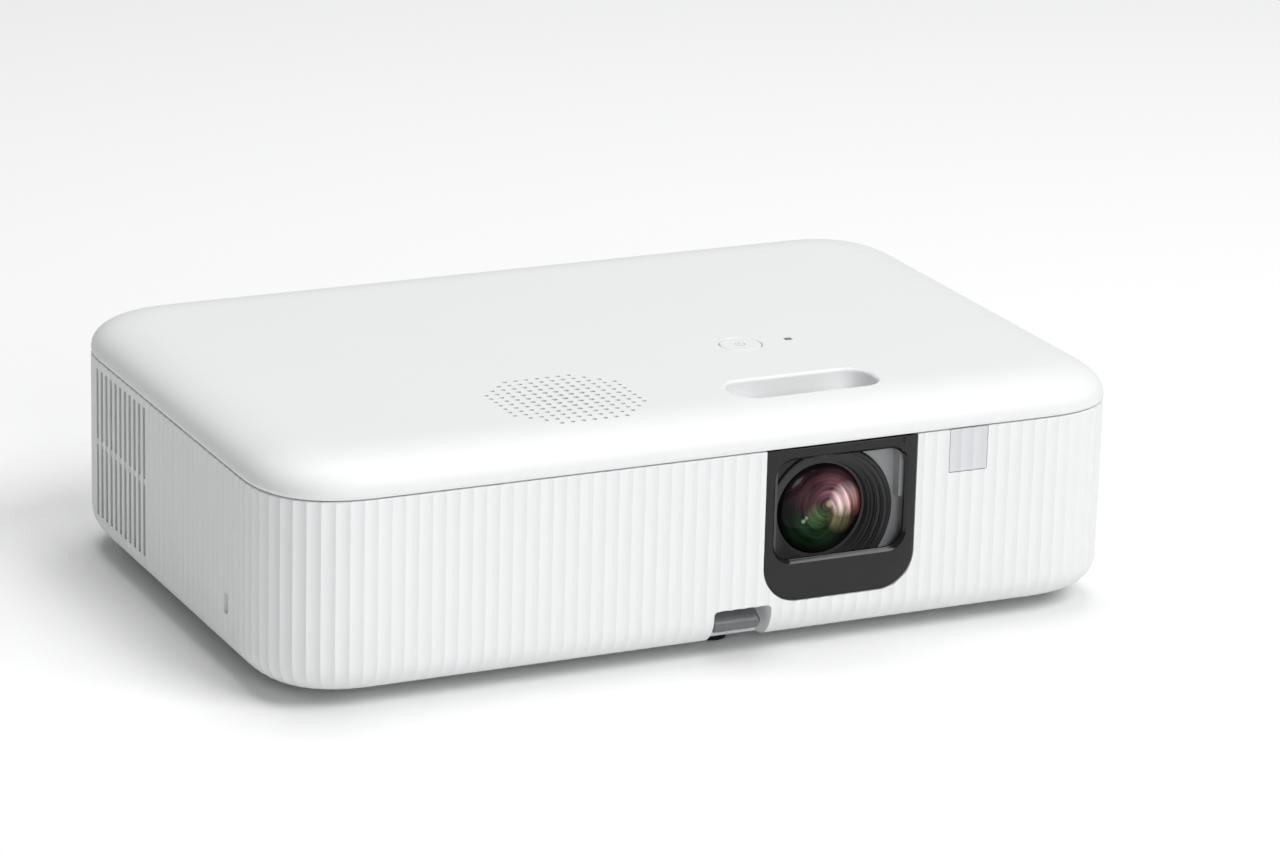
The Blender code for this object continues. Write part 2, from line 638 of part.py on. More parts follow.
# ---------------------------------------------------------------- lens group
def build_lens():
    """Hood and cell that slide for focus, the fixed barrel, and the ring that drives them."""
    cell_front = FRONT + HOOD_SETBACK
    seat = GLASS_SETBACK - HOOD_SETBACK
    bore = GLASS_RADIUS - 0.001
    sleeve = BARREL_RADIUS - BARREL_WALL - GAP
    glass_room = GLASS_RADIUS + GAP
    glass_back = seat + GLASS_EDGE
    cell_profile = [
        (HOOD_RADIUS, 0), (HOOD_RADIUS, HOOD_LENGTH), (sleeve, HOOD_LENGTH + 0.0005), (sleeve, CELL_LENGTH),
        (bore, CELL_LENGTH), (bore, glass_back), (glass_room, glass_back), (glass_room, seat),
        (GLASS_RADIUS + 0.0028, seat - 0.0015), (GLASS_RADIUS + 0.0030, seat - 0.0030),
        (GLASS_RADIUS + 0.0048, seat - 0.0034), (GLASS_RADIUS + 0.0050, seat - 0.0050),
        (HOOD_RADIUS - 0.0016, seat - 0.0054), (HOOD_RADIUS - 0.0012, 0)]
    place = (LENS_X, cell_front, LENS_Z)
    add_object("lens_cell", turned(cell_profile, 32), BLACK, place, FACE_BACK, 0.45)
    rim = seat + GAP
    glass_profile = [(0, rim - GLASS_DOME)]
    for step in range(1, 6):
        angle = step / 5 * math.pi / 2
        glass_profile.append((GLASS_RADIUS * math.sin(angle), rim - GLASS_DOME * math.cos(angle)))
    glass_profile += [(GLASS_RADIUS, glass_back - GAP), (0, glass_back - GAP)]
    add_object("front_lens", turned(glass_profile, 32), COATED_GLASS, place, FACE_BACK, 0.03)
    add_object("rear_lens", turned([
        (0, CELL_LENGTH - REAR_GLASS_EDGE - 0.001), (bore - GAP, CELL_LENGTH - REAR_GLASS_EDGE),
        (bore - GAP, CELL_LENGTH - 0.001), (0, CELL_LENGTH)], 24), COATED_GLASS, place, FACE_BACK, 0.03)
    inner = BARREL_RADIUS - BARREL_WALL
    flange = BARREL_RADIUS + FLANGE_WIDTH
    flange_front = BARREL_LENGTH - FLANGE_THICKNESS
    barrel_profile = [
        (inner, 0), (inner, BARREL_LENGTH), (flange, BARREL_LENGTH), (flange, flange_front),
        (BARREL_RADIUS, flange_front), (BARREL_RADIUS, 0)]
    add_object("lens_barrel", turned(barrel_profile, 32), DARK_GREY,
               (LENS_X, FRONT + BARREL_SETBACK, LENS_Z), FACE_BACK, 0.5)
    ring_profile = [
        (BARREL_RADIUS + GAP, 0), (BARREL_RADIUS + GAP, RING_WIDTH),
        (RING_RADIUS, RING_WIDTH), (RING_RADIUS, 0)]
    add_object("focus_ring", turned(ring_profile, 40), DARK_GREY,
               (LENS_X, FRONT + RING_SETBACK, LENS_Z), FACE_BACK, 0.6)


def build_shutter():
    """The sliding lens shutter, its rail, and the pale frame it runs in front of."""
    front = FRONT + BLADE_SETBACK
    back = front + BLADE_THICKNESS
    shelf_low = BLADE_TOP + SHELF_LIFT
    shelf_high = shelf_low + SHELF_THICKNESS
    stem_y = FRONT + STEM_SETBACK
    stem_left = BLADE_EDGE - STEM_WIDTH
    blade = add_object("shutter_blade", box(
        (BLADE_EDGE - BLADE_WIDTH, front, BLADE_BOTTOM), (BLADE_EDGE, back, BLADE_TOP)), DARK_GREY)
    join(blade, cutter("blade_riser", box(
        (stem_left, front, BLADE_TOP - WALL), (BLADE_EDGE, back, shelf_high))))
    join(blade, cutter("blade_shelf", box(
        (stem_left, front, shelf_low), (BLADE_EDGE, stem_y + STEM_LENGTH, shelf_high))))
    join(blade, cutter("blade_stem", box(
        (stem_left, stem_y, shelf_low), (BLADE_EDGE, stem_y + STEM_LENGTH, RECESS_FLOOR + WALL))))
    knob_middle = stem_left + STEM_WIDTH / 2
    knob_low = RECESS_FLOOR + KNOB_LIFT
    knob_over = (KNOB_WIDTH - STEM_WIDTH) / 2
    join(blade, cutter("blade_knob", box(
        (knob_middle - KNOB_WIDTH / 2, stem_y - knob_over, knob_low),
        (knob_middle + KNOB_WIDTH / 2, stem_y + STEM_LENGTH + knob_over, knob_low + KNOB_HEIGHT))))
    plate_front = FRONT + LENS_FRAME_SETBACK
    plate = add_object("lens_frame", box(
        (BEZEL_LEFT - 0.002, plate_front, LENS_Z - HOOD_RADIUS - 0.0011),
        (BEZEL_RIGHT + 0.003, plate_front + LENS_FRAME_THICKNESS, BLADE_TOP)), PALE_GREY, roughness=0.45)
    stop_left = BLADE_EDGE + BLADE_TRAVEL + GAP
    join(plate, cutter("blade_stop", box(
        (stop_left, front, LENS_Z + 0.005),
        (stop_left + STOP_WIDTH, plate_front + 0.001, BLADE_TOP - 0.001))))
    hole = disc(HOOD_RADIUS + 0.0004, -0.01, 0.01, 40)
    cut(plate, cutter("frame_hole", hole, (LENS_X, plate_front, LENS_Z), FACE_BACK))
    rail_top = BLADE_BOTTOM - 2 * GAP
    add_object("shutter_rail", box(
        (BLADE_EDGE - BLADE_WIDTH - 0.002, front - GAP, rail_top - RAIL_HEIGHT),
        (BEZEL_RIGHT + 0.002, FRONT + HOOD_SETBACK - FOCUS_TRAVEL - 2 * GAP, rail_top)), DARK_GREY)


# ---------------------------------------------------------------- buttons and speaker
def build_top_controls():
    """Power button, its board, the status light pipe and the speaker."""
    cap_bottom = INNER_TOP - 0.0004
    flange_bottom = cap_bottom - BUTTON_FLANGE_THICKNESS
    stem_bottom = flange_bottom - BUTTON_STEM_LENGTH
    flange = BUTTON_RADIUS + BUTTON_FLANGE
    add_object("power_button", turned([
        (0, stem_bottom), (BUTTON_STEM_RADIUS, stem_bottom), (BUTTON_STEM_RADIUS, flange_bottom),
        (flange, flange_bottom), (flange, cap_bottom), (BUTTON_RADIUS, cap_bottom),
        (BUTTON_RADIUS, TOP - 0.0002),
        (BUTTON_RADIUS - GAP, TOP), (0, TOP)], 32), WHITE, (BUTTON_X, BUTTON_Y, 0), roughness=0.5)
    switch_top = stem_bottom - BUTTON_TRAVEL - GAP
    switch_base = switch_top - SWITCH_HEIGHT
    switch_half = SWITCH_SIZE / 2
    board = add_object("button_board", box(
        (BUTTON_X - BUTTON_BOARD_REACH, BUTTON_Y - BUTTON_BOARD_HALF, switch_base - BOARD_THICKNESS),
        (LIGHT_X + SWITCH_SIZE, BUTTON_Y + BUTTON_BOARD_HALF, switch_base)), BOARD_GREEN)
    join(board, cutter("tact_switch", box(
        (BUTTON_X - switch_half, BUTTON_Y - switch_half, switch_base - GAP),
        (BUTTON_X + switch_half, BUTTON_Y + switch_half, switch_top))))
    half = LIGHT_SIZE / 2
    add_object("status_light", box(
        (LIGHT_X - half, BUTTON_Y - half, switch_base + GAP), (LIGHT_X + half, BUTTON_Y + half, TOP)),
        PALE_GREY, roughness=0.2)
    top = INNER_TOP - 0.0008
    bottom = top - SPEAKER_HEIGHT
    cone = SPEAKER_RADIUS - 0.003
    add_object("speaker", turned([
        (0, bottom), (MAGNET_RADIUS, bottom), (MAGNET_RADIUS, bottom + MAGNET_HEIGHT), (cone, top - 0.004),
        (SPEAKER_RADIUS, top - 0.003), (SPEAKER_RADIUS, top), (cone, top),
        (0.008, top - 0.008), (0, top - 0.006)], 24), BLACK, (SPEAKER_X, SPEAKER_Y, 0), roughness=0.8)


# ---------------------------------------------------------------- feet
def build_feet():
    """The spring-latched front foot in its sleeve, its release lever, and two fixed rear feet."""
    half = POST_SIZE / 2
    disc_bottom = SOLE_THICKNESS + GAP
    disc_top = FLOOR - 2 * GAP
    foot = add_object("front_foot", disc(SOLE_RADIUS, disc_bottom, disc_top, 20), PALE_GREY,
                      (FOOT_X, FOOT_Y, 0))
    join(foot, cutter("foot_post", box(
        (-half, -half, disc_bottom + 2 * GAP), (half, half, FLOOR + POST_HEIGHT)), (FOOT_X, FOOT_Y, 0)))
    add_object("front_foot_sole", disc(SOLE_RADIUS - GAP, 0, SOLE_THICKNESS, 20), BLACK,
               (FOOT_X, FOOT_Y, 0), roughness=0.9)
    hole = half + GAP
    outer = hole + SLEEVE_WALL
    base = INNER_FLOOR + GAP
    pivot_y = FRONT + LEVER_PIVOT_SETBACK
    sleeve = add_object("foot_sleeve", box(
        (FOOT_X - outer, FOOT_Y - outer, base),
        (FOOT_X + outer, FOOT_Y + outer, base + SLEEVE_HEIGHT)), DARK_GREY)
    for index, side in enumerate((FOOT_X - outer, FOOT_X + outer - LUG_SIZE)):
        join(sleeve, cutter(f"sleeve_lug_{index}", box(
            (side, pivot_y - LUG_SIZE, LEVER_PIVOT_Z - LUG_SIZE),
            (side + LUG_SIZE, FOOT_Y - half, LEVER_PIVOT_Z + LUG_SIZE))))
    cut(sleeve, cutter("sleeve_bore", box(
        (FOOT_X - hole, FOOT_Y - hole, FLOOR), (FOOT_X + hole, FOOT_Y + hole, base + SLEEVE_HEIGHT + WALL))))
    pin_length = 2 * outer
    pivot = (FOOT_X, pivot_y, LEVER_PIVOT_Z)
    cut(sleeve, cutter("lug_holes", disc(PIN_RADIUS + GAP, -pin_length, pin_length, 12), pivot, FACE_RIGHT))
    add_object("lever_pin", disc(PIN_RADIUS, -outer, outer, 12), STEEL, pivot, FACE_RIGHT, 0.3, 1.0)
    build_lever(pivot)
    for side, name in ((-1, "rear_foot_left"), (1, "rear_foot_right")):
        add_object(name, turned([
            (0, 0), (REAR_FOOT_RADIUS - REAR_FOOT_BEVEL, 0), (REAR_FOOT_RADIUS, REAR_FOOT_BEVEL),
            (REAR_FOOT_RADIUS, FLOOR - GAP),
            (0, FLOOR - GAP)], 20), BLACK, (side * REAR_FOOT_X, REAR_FOOT_Y, 0), roughness=0.9)


def build_lever(pivot):
    """A chamfered bar on a short arm; its origin is on the pivot pin."""
    bar_front = FRONT + LEVER_BAR_SETBACK - pivot[1]
    bar_back = bar_front + LEVER_BAR_DEPTH
    low = LEVER_BAR_LOW - pivot[2]
    high = low + LEVER_BAR_HEIGHT
    outline = [
        (bar_back, low + 0.001), (bar_back, high), (bar_front + LEVER_CHAMFER_DEPTH, high),
        (bar_front, high - LEVER_CHAMFER_DROP), (bar_front, low + 0.0008), (bar_front + 0.0012, low)]
    left = -LEVER_WIDTH / 2 - LEVER_SHIFT
    right = LEVER_WIDTH / 2 - LEVER_SHIFT
    bar = loft([[(left, y, z) for y, z in outline], [(right, y, z) for y, z in outline]])
    lever = add_object("foot_lever", bar, MID_GREY, pivot, roughness=0.45)
    arm_low = -LEVER_ARM_THICKNESS / 2
    arm_high = LEVER_ARM_THICKNESS / 2
    join(lever, cutter("lever_arm", box(
        (-LEVER_ARM_HALF, bar_back - 0.001, arm_low), (LEVER_ARM_HALF, 0.0, arm_high)), pivot))
    hub = disc(LEVER_HUB_RADIUS, -LEVER_ARM_HALF, LEVER_ARM_HALF, 16)
    join(lever, cutter("lever_hub", hub, pivot, FACE_RIGHT))
    bore = disc(PIN_RADIUS + GAP, -LEVER_WIDTH, LEVER_WIDTH, 12)
    cut(lever, cutter("lever_bore", bore, pivot, FACE_RIGHT))


# ---------------------------------------------------------------- side and rear
def build_filter():
    """The slotted air-filter cover, flush in the right wall, and the pad behind it."""
    outer = RIGHT
    inner = RIGHT - WALL
    cover = add_object("filter_cover", box(
        (inner, FILTER_Y - FILTER_LENGTH / 2, FILTER_Z - FILTER_HEIGHT / 2),
        (outer, FILTER_Y + FILTER_LENGTH / 2, FILTER_Z + FILTER_HEIGHT / 2)), WHITE, roughness=0.55)
    blocks = []
    for index in range(FILTER_SLOTS):
        y = FILTER_Y + (index - (FILTER_SLOTS - 1) / 2) * FLUTE_PITCH
        for low, high in ((-0.5, 0.0), (0.0, 0.5)):
            bottom = FILTER_Z + low * FILTER_HEIGHT + (FILTER_BORDER if low < 0 else VENT_RIB / 2)
            top = FILTER_Z + high * FILTER_HEIGHT - (FILTER_BORDER if high > 0 else VENT_RIB / 2)
            blocks.append((
                (inner - WALL, y - VENT_WIDTH / 2, bottom), (outer + WALL, y + VENT_WIDTH / 2, top)))
    cut(cover, cutter("filter_slots", boxes(blocks)))
    pad_back = inner - GAP - FILTER_PAD_THICKNESS
    pad_half_length = FILTER_LENGTH / 2 - FILTER_PAD_MARGIN
    pad_half_height = FILTER_HEIGHT / 2 - FILTER_PAD_MARGIN
    add_object("filter_pad", box(
        (pad_back, FILTER_Y - pad_half_length, FILTER_Z - pad_half_height),
        (inner - GAP, FILTER_Y + pad_half_length, FILTER_Z + pad_half_height)),
        DARK_GREY, roughness=1.0)


def socket_row():
    """Name, middle, width, height of each signal socket along the rear panel."""
    first = INLET_X + 0.040
    return (("hdmi_socket", first, HDMI_WIDTH, HDMI_HEIGHT),
            ("usb_socket", first + 0.026, USB_WIDTH, USB_HEIGHT),
            ("service_socket", first + 0.048, SERVICE_WIDTH, SERVICE_HEIGHT))


def build_rear():
    """The recessed rear panel with the power inlet and the signal sockets on the main board."""
    panel_back = BACK - PANEL_RECESS
    panel_front = panel_back - PANEL_THICKNESS
    inlet_z = (PANEL_BOTTOM + PANEL_TOP) / 2
    socket_z = inlet_z - SOCKET_DROP
    panel = add_object("rear_panel", box(
        (PANEL_LEFT, panel_front, PANEL_BOTTOM), (PANEL_RIGHT, panel_back, PANEL_TOP)),
        DARK_GREY, roughness=0.6)
    cut(panel, cutter("inlet_hole", box(
        (INLET_X - INLET_WIDTH / 2 - GAP, panel_front - WALL, inlet_z - INLET_HEIGHT / 2 - GAP),
        (INLET_X + INLET_WIDTH / 2 + GAP, panel_back + WALL, inlet_z + INLET_HEIGHT / 2 + GAP))))
    inlet = add_object("power_inlet", box(
        (INLET_X - INLET_WIDTH / 2, panel_back - INLET_LENGTH, inlet_z - INLET_HEIGHT / 2),
        (INLET_X + INLET_WIDTH / 2, panel_back, inlet_z + INLET_HEIGHT / 2)), BLACK)
    cut(inlet, cutter("inlet_hollow", box(
        (INLET_X - INLET_WIDTH / 2 + INLET_WALL, panel_back - INLET_LENGTH + INLET_BACK_WALL,
         inlet_z - INLET_HEIGHT / 2 + INLET_WALL),
        (INLET_X + INLET_WIDTH / 2 - INLET_WALL, panel_back + WALL,
         inlet_z + INLET_HEIGHT / 2 - INLET_WALL))))
    pin_root = panel_back - INLET_LENGTH + INLET_BACK_WALL - 0.001
    pins = ((-INLET_PIN_PITCH, -INLET_PIN_STEP), (0.0, INLET_PIN_STEP), (INLET_PIN_PITCH, -INLET_PIN_STEP))
    for index, (across, up) in enumerate(pins):
        x = INLET_X + across
        z = inlet_z + up
        join(inlet, cutter(f"inlet_pin_{index}", box(
            (x - INLET_PIN_WIDTH / 2, pin_root, z - INLET_PIN_HEIGHT / 2),
            (x + INLET_PIN_WIDTH / 2, panel_back - INLET_PIN_SETBACK, z + INLET_PIN_HEIGHT / 2))))
    board_top = socket_z - max(HDMI_HEIGHT, USB_HEIGHT, SERVICE_HEIGHT) / 2 - GAP
    for name, x, width, height in socket_row():
        cut(panel, cutter(name + "_hole", box(
            (x - width / 2 - GAP, panel_front - WALL, socket_z - height / 2 - GAP),
            (x + width / 2 + GAP, panel_back + WALL, socket_z + height / 2 + GAP))))
        socket = add_object(name, box(
            (x - width / 2, panel_back - SOCKET_LENGTH, socket_z - height / 2),
            (x + width / 2, panel_back, socket_z + height / 2)), STEEL, roughness=0.35, metallic=0.9)
        room_x = width / 2 - SOCKET_WALL
        room_z = height / 2 - SOCKET_WALL
        room_front = panel_back - SOCKET_LENGTH + SOCKET_BACK_WALL
        cut(socket, cutter(name + "_hollow", box(
            (x - room_x, room_front, socket_z - room_z), (x + room_x, panel_back + WALL, socket_z + room_z))))
        tongue_x = width / 2 - TONGUE_MARGIN
        join(socket, cutter(name + "_tongue", box(
            (x - tongue_x, room_front - 0.001, socket_z - TONGUE_THICKNESS / 2),
            (x + tongue_x, panel_back - TONGUE_SETBACK, socket_z + TONGUE_THICKNESS / 2))))
    board_left = INLET_X + INLET_WIDTH / 2 + 0.004
    add_object("main_board", box(
        (board_left, ENGINE_BACK + 0.0102, board_top - BOARD_THICKNESS),
        (PANEL_RIGHT + 0.004, panel_front - 0.001, board_top)), BOARD_GREEN)


# ---------------------------------------------------------------- optics and lamp
def lamp_place():
    return (LEFT + 0.069, BACK - 0.0805)


def build_engine():
    """The optical engine housing with the colour prism and its three panels, and the lamp unit."""
    prism_y = FRONT + BARREL_SETBACK + BARREL_LENGTH + PRISM_SETBACK
    lamp_x, lamp_y = lamp_place()
    lamp_low = INNER_FLOOR + LAMP_LIFT
    lamp_z = lamp_low + LAMP_SIZE / 2
    engine = add_object("optical_engine", box(
        (ENGINE_LEFT, ENGINE_FRONT, ENGINE_LOW), (ENGINE_RIGHT, ENGINE_BACK, ENGINE_HIGH)),
        MID_GREY, roughness=0.6)
    lamp_side = lamp_x + LAMP_SIZE / 2
    join(engine, cutter("engine_arm", box(
        (lamp_side + 2 * GAP, lamp_y - 0.015, ENGINE_LOW + 0.002),
        (LENS_X, lamp_y + 0.013, ENGINE_HIGH - 0.003))))
    pocket = PRISM_SIZE / 2 + LCD_THICKNESS + LCD_GAP + 0.004
    cut(engine, cutter("prism_pocket", box(
        (LENS_X - pocket, prism_y - pocket, LENS_Z - PRISM_SIZE / 2 - GAP),
        (LENS_X + pocket, prism_y + pocket, ENGINE_HIGH + WALL))))
    port = disc(ENGINE_PORT_RADIUS, -0.01, 0.02, 20)
    cut(engine, cutter("engine_port", port, (LENS_X, ENGINE_FRONT, LENS_Z), FACE_BACK))
    half = PRISM_SIZE / 2
    add_object("colour_prism", box(
        (LENS_X - half, prism_y - half, LENS_Z - half), (LENS_X + half, prism_y + half, LENS_Z + half)),
        PALE_GREY, roughness=0.05)
    near = half + LCD_GAP
    far = near + LCD_THICKNESS
    sides = (("red_panel", (-far, -half, -half), (-near, half, half)),
             ("green_panel", (-half, near, -half), (half, far, half)),
             ("blue_panel", (near, -half, -half), (far, half, half)))
    for name, low, high in sides:
        add_object(name, box(low, high), DARK_GREY, (LENS_X, prism_y, LENS_Z), roughness=0.3)
    size = LAMP_SIZE / 2
    housing = add_object("lamp_housing", box(
        (lamp_x - size, lamp_y - size, lamp_low), (lamp_x + size, lamp_y + size, lamp_z + size)), DARK_GREY)
    room = size - LAMP_WALL
    cut(housing, cutter("lamp_hollow", box(
        (lamp_x - room, lamp_y - room, lamp_z - room), (lamp_x + size + WALL, lamp_y + room, lamp_z + room))))
    vent = disc(LAMP_VENT_RADIUS, -0.01, 0.01, 16)
    cut(housing, cutter("lamp_vent", vent, (lamp_x - size, lamp_y, lamp_z), FACE_RIGHT))
    reflector_place = (lamp_x - room + REFLECTOR_SETBACK, lamp_y, lamp_z)
    rim = room - 0.002
    add_object("lamp_reflector", turned([
        (0.004, 0), (0.012, 0.003), (rim * 0.8, 0.016), (rim, 0.030), (rim - 0.002, 0.030),
        (rim * 0.8 - 0.002, 0.017), (0.010, 0.005), (0.004, 0.003)], 24), STEEL,
        reflector_place, FACE_RIGHT, 0.15, 1.0)
    add_object("lamp_burner", turned([
        (0, -0.006), (0.003, -0.006), (0.003, 0.012), (0.0055, 0.016), (0.003, 0.020), (0, 0.022)], 16),
        PALE_GREY, reflector_place, FACE_RIGHT, 0.1)
    door = room - GAP
    add_object("lamp_cover", box(
        (lamp_x - door, lamp_y - door, FLOOR), (lamp_x + door, lamp_y + door, FLOOR + WALL)),
        WHITE, roughness=0.55)


# ---------------------------------------------------------------- fans
def fan_frame(name, face_x, y, z, cut_radius):
    """A square axial fan frame standing across X, with a hub carried on one spider arm."""
    half = FAN_SIZE / 2
    frame = add_object(name, box(
        (face_x, y - half, z - half), (face_x + FAN_THICKNESS, y + half, z + half)), BLACK)
    bore = disc(cut_radius, -0.01, FAN_THICKNESS + 0.01, 24)
    cut(frame, cutter(name + "_bore", bore, (face_x, y, z), FACE_RIGHT))
    join(frame, cutter(name + "_spider", box(
        (face_x, y - FAN_SPIDER, z - half + 0.001),
        (face_x + FAN_SPIDER, y + FAN_SPIDER, z + half - 0.001))))
    join(frame, cutter(name + "_bed", disc(FAN_HUB_RADIUS, 0, FAN_SPIDER, 20), (face_x, y, z), FACE_RIGHT))


def fan_rotor(name, face_x, y, z, tip_radius):
    """A hub with pitched blades, turned about X; its origin is on the fan's axis."""
    front = FAN_HUB_FRONT
    back = FAN_THICKNESS - 0.001
    rotor = add_object(name, disc(FAN_HUB_RADIUS, front, back, 20), BLACK, (face_x, y, z), FACE_RIGHT)
    for index in range(FAN_BLADES):
        start = 2 * math.pi * index / FAN_BLADES
        root = FAN_HUB_RADIUS - 0.001
        low = front + 0.001
        high = back - 0.0015
        section = ((0, low), (FAN_BLADE_TWIST, high), (FAN_BLADE_TWIST + FAN_BLADE_SWEEP, high),
                   (FAN_BLADE_SWEEP, low))
        loops = []
        for radius in (root, tip_radius):
            loops.append([(radius * math.cos(start + angle), radius * math.sin(start + angle), height)
                          for angle, height in section])
        join(rotor, cutter(f"{name}_blade_{index}", loft(loops), (face_x, y, z), FACE_RIGHT))


def build_fans():
    """Exhaust fan behind the left vents, intake fan behind the filter, and the lamp blower."""
    bore = FAN_SIZE / 2 - FAN_WALL
    tip = bore - FAN_TIP_CLEARANCE
    exhaust_x = LEFT + WALL + EXHAUST_SETBACK
    fan_z = (VENT_BOTTOM + VENT_TOP) / 2
    fan_frame("exhaust_fan_frame", exhaust_x, VENT_MIDDLE_Y, fan_z, bore)
    fan_rotor("exhaust_fan_rotor", exhaust_x, VENT_MIDDLE_Y, fan_z, tip)
    intake_x = RIGHT - WALL - FILTER_PAD_THICKNESS - INTAKE_SETBACK - FAN_THICKNESS
    fan_frame("intake_fan_frame", intake_x, FILTER_Y, fan_z, bore)
    fan_rotor("intake_fan_rotor", intake_x, FILTER_Y, fan_z, tip)
    lamp_x, lamp_y = lamp_place()
    half = BLOWER_HALF
    blower_y = lamp_y + LAMP_SIZE / 2 + 0.004 + half
    low = INNER_FLOOR + BLOWER_LIFT
    high = low + BLOWER_HEIGHT
    housing = add_object("lamp_blower_housing", box(
        (lamp_x - half, blower_y - half, low), (lamp_x + half, blower_y + half, high)), BLACK)
    room = disc(BLOWER_ROTOR_RADIUS + BLOWER_WALL, low + BLOWER_WALL, high + WALL, 24)
    cut(housing, cutter("blower_room", room, (lamp_x, blower_y, 0)))
    cut(housing, cutter("blower_outlet", box(
        (lamp_x - 0.004, blower_y - half - WALL, low + 0.002), (lamp_x + 0.008, blower_y, high - 0.003))))
    hub = disc(BLOWER_HUB_RADIUS, low + 0.0022, high - BLOWER_WALL, 16)
    rotor = add_object("lamp_blower_rotor", hub, BLACK, (lamp_x, blower_y, 0))
    for index in range(BLOWER_BLADES):
        angle = 2 * math.pi * index / BLOWER_BLADES
        vane = box((0.006, -0.0004, low + 0.003), (BLOWER_ROTOR_RADIUS, 0.0004, high - 0.002))
        join(rotor, cutter(f"blower_vane_{index}", vane, (lamp_x, blower_y, 0), (0, 0, angle)))


# ---------------------------------------------------------------- electronics and fasteners
def build_power_supply():
    """The mains board under the speaker, and the lamp ballast beside it."""
    left = LEFT + 0.030
    right = FOOT_X - 0.037
    low = INNER_FLOOR + POWER_BOARD_LIFT
    lamp_y = lamp_place()[1]
    back = lamp_y - LAMP_SIZE / 2 - 0.007
    front = FRONT + 0.012
    board = add_object("power_supply_board", box(
        (left, front, low), (right, back, low + BOARD_THICKNESS)), BOARD_GREEN)
    base = low + BOARD_THICKNESS - GAP
    blocks = (((left + 0.010, front + 0.006), (left + 0.038, front + 0.030), 0.026),
              ((left + 0.046, front + 0.010), (left + 0.060, front + 0.024), 0.030),
              ((left + 0.012, back - 0.034), (left + 0.034, back - 0.010), 0.022),
              ((right - 0.026, back - 0.030), (right - 0.008, back - 0.008), 0.018))
    for index, ((x0, y0), (x1, y1), height) in enumerate(blocks):
        join(board, cutter(f"power_part_{index}", box((x0, y0, base), (x1, y1, base + height))))
    add_object("lamp_ballast", box(
        (FOOT_X - 0.063, lamp_y - 0.036, INNER_FLOOR + 0.001),
        (FOOT_X - 0.013, lamp_y - 0.018, INNER_FLOOR + 0.001 + BALLAST_HEIGHT)),
        STEEL, roughness=0.4, metallic=0.8)


def build_screws():
    """Four screws driven up from the floor of the tray."""
    head_low = FLOOR + SCREW_SINK
    head_high = head_low + SCREW_HEAD_HEIGHT
    for index, (x, y) in enumerate(screw_points()):
        add_object(f"case_screw_{index + 1}", turned([
            (0, head_low), (SCREW_HEAD_RADIUS, head_low), (SCREW_HEAD_RADIUS, head_high),
            (SCREW_SHANK_RADIUS, head_high), (SCREW_SHANK_RADIUS, head_high + SCREW_LENGTH),
            (0, head_high + SCREW_LENGTH)], 10), STEEL, (x, y, 0), roughness=0.35, metallic=1.0)


for old in list(bpy.data.objects):
    bpy.data.objects.remove(old, do_unlink=True)

build_lower_case()
build_top_cover()
build_trim()
build_lens()
build_shutter()
build_top_controls()
build_feet()
build_filter()
build_rear()
build_engine()
build_fans()
build_power_supply()
build_screws()
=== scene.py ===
"""Home projector: its looks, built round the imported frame. Metres, +Z up, the lens looks along -Y."""

import math

import bpy
import numpy as np
from mathutils import Matrix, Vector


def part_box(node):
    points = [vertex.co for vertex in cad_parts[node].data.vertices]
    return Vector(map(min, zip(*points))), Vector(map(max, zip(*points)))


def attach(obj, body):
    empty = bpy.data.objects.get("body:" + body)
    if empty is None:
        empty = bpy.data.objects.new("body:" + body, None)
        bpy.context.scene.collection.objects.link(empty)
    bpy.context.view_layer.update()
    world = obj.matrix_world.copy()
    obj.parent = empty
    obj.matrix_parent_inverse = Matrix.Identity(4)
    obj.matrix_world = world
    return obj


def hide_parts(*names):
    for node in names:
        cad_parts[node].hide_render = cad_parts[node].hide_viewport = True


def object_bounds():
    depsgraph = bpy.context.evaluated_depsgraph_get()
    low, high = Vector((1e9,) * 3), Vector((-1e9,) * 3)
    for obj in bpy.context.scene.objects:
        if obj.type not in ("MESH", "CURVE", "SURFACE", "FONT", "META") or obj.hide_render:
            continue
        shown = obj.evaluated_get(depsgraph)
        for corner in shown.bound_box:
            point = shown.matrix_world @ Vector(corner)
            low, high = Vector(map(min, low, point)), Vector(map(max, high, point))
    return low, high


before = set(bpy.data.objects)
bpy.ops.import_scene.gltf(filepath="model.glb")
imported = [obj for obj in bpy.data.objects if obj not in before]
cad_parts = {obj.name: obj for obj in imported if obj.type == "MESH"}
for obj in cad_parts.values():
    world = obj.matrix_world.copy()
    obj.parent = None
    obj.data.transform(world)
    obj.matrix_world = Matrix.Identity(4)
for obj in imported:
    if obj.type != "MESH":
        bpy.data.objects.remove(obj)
cad_low, cad_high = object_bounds()

# -------- fluted tray
# The lower half of the case, one white moulding: floor, rounded bottom edge and a wall of
# upright concave flutes. A lip inside its rim takes the cover. Openings are cut through it
# for the lens surround, the receiver, the lever, the vents, the filter and the rear panel.
tray_low, tray_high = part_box("lower_case")
cover_low, cover_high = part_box("top_cover")
bezel_low, bezel_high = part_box("lens_bezel")
WIDTH = tray_high.x - tray_low.x
DEPTH = tray_high.y - tray_low.y
FLOOR = tray_low.z
RIM = bezel_high.z
CORNER_REACH = 0.038         # how far a plan corner runs along each side
CORNER_POWER = 2.6
EDGE_RADIUS = 0.0113
WALL = 0.0025
GAP = 0.0003
FLUTE_PITCH = 0.00484        # round the front and the corners
SLOT_PITCH = 0.00487         # where slots are cut, one to a flute
FLUTE_DEPTH = 0.00046
FLUTE_STEPS = 6              # columns of points in a flute
VENT_COUNT = 11
VENT_WIDTH = 0.0024
VENT_RIB = 0.0022
RIB_SINK = 0.0007            # the rib across the slots lies behind the fins' faces
VENT_BOTTOM = FLOOR + 0.0108
VENT_TOP = RIM - 0.0032
FILTER_SLOTS = 19
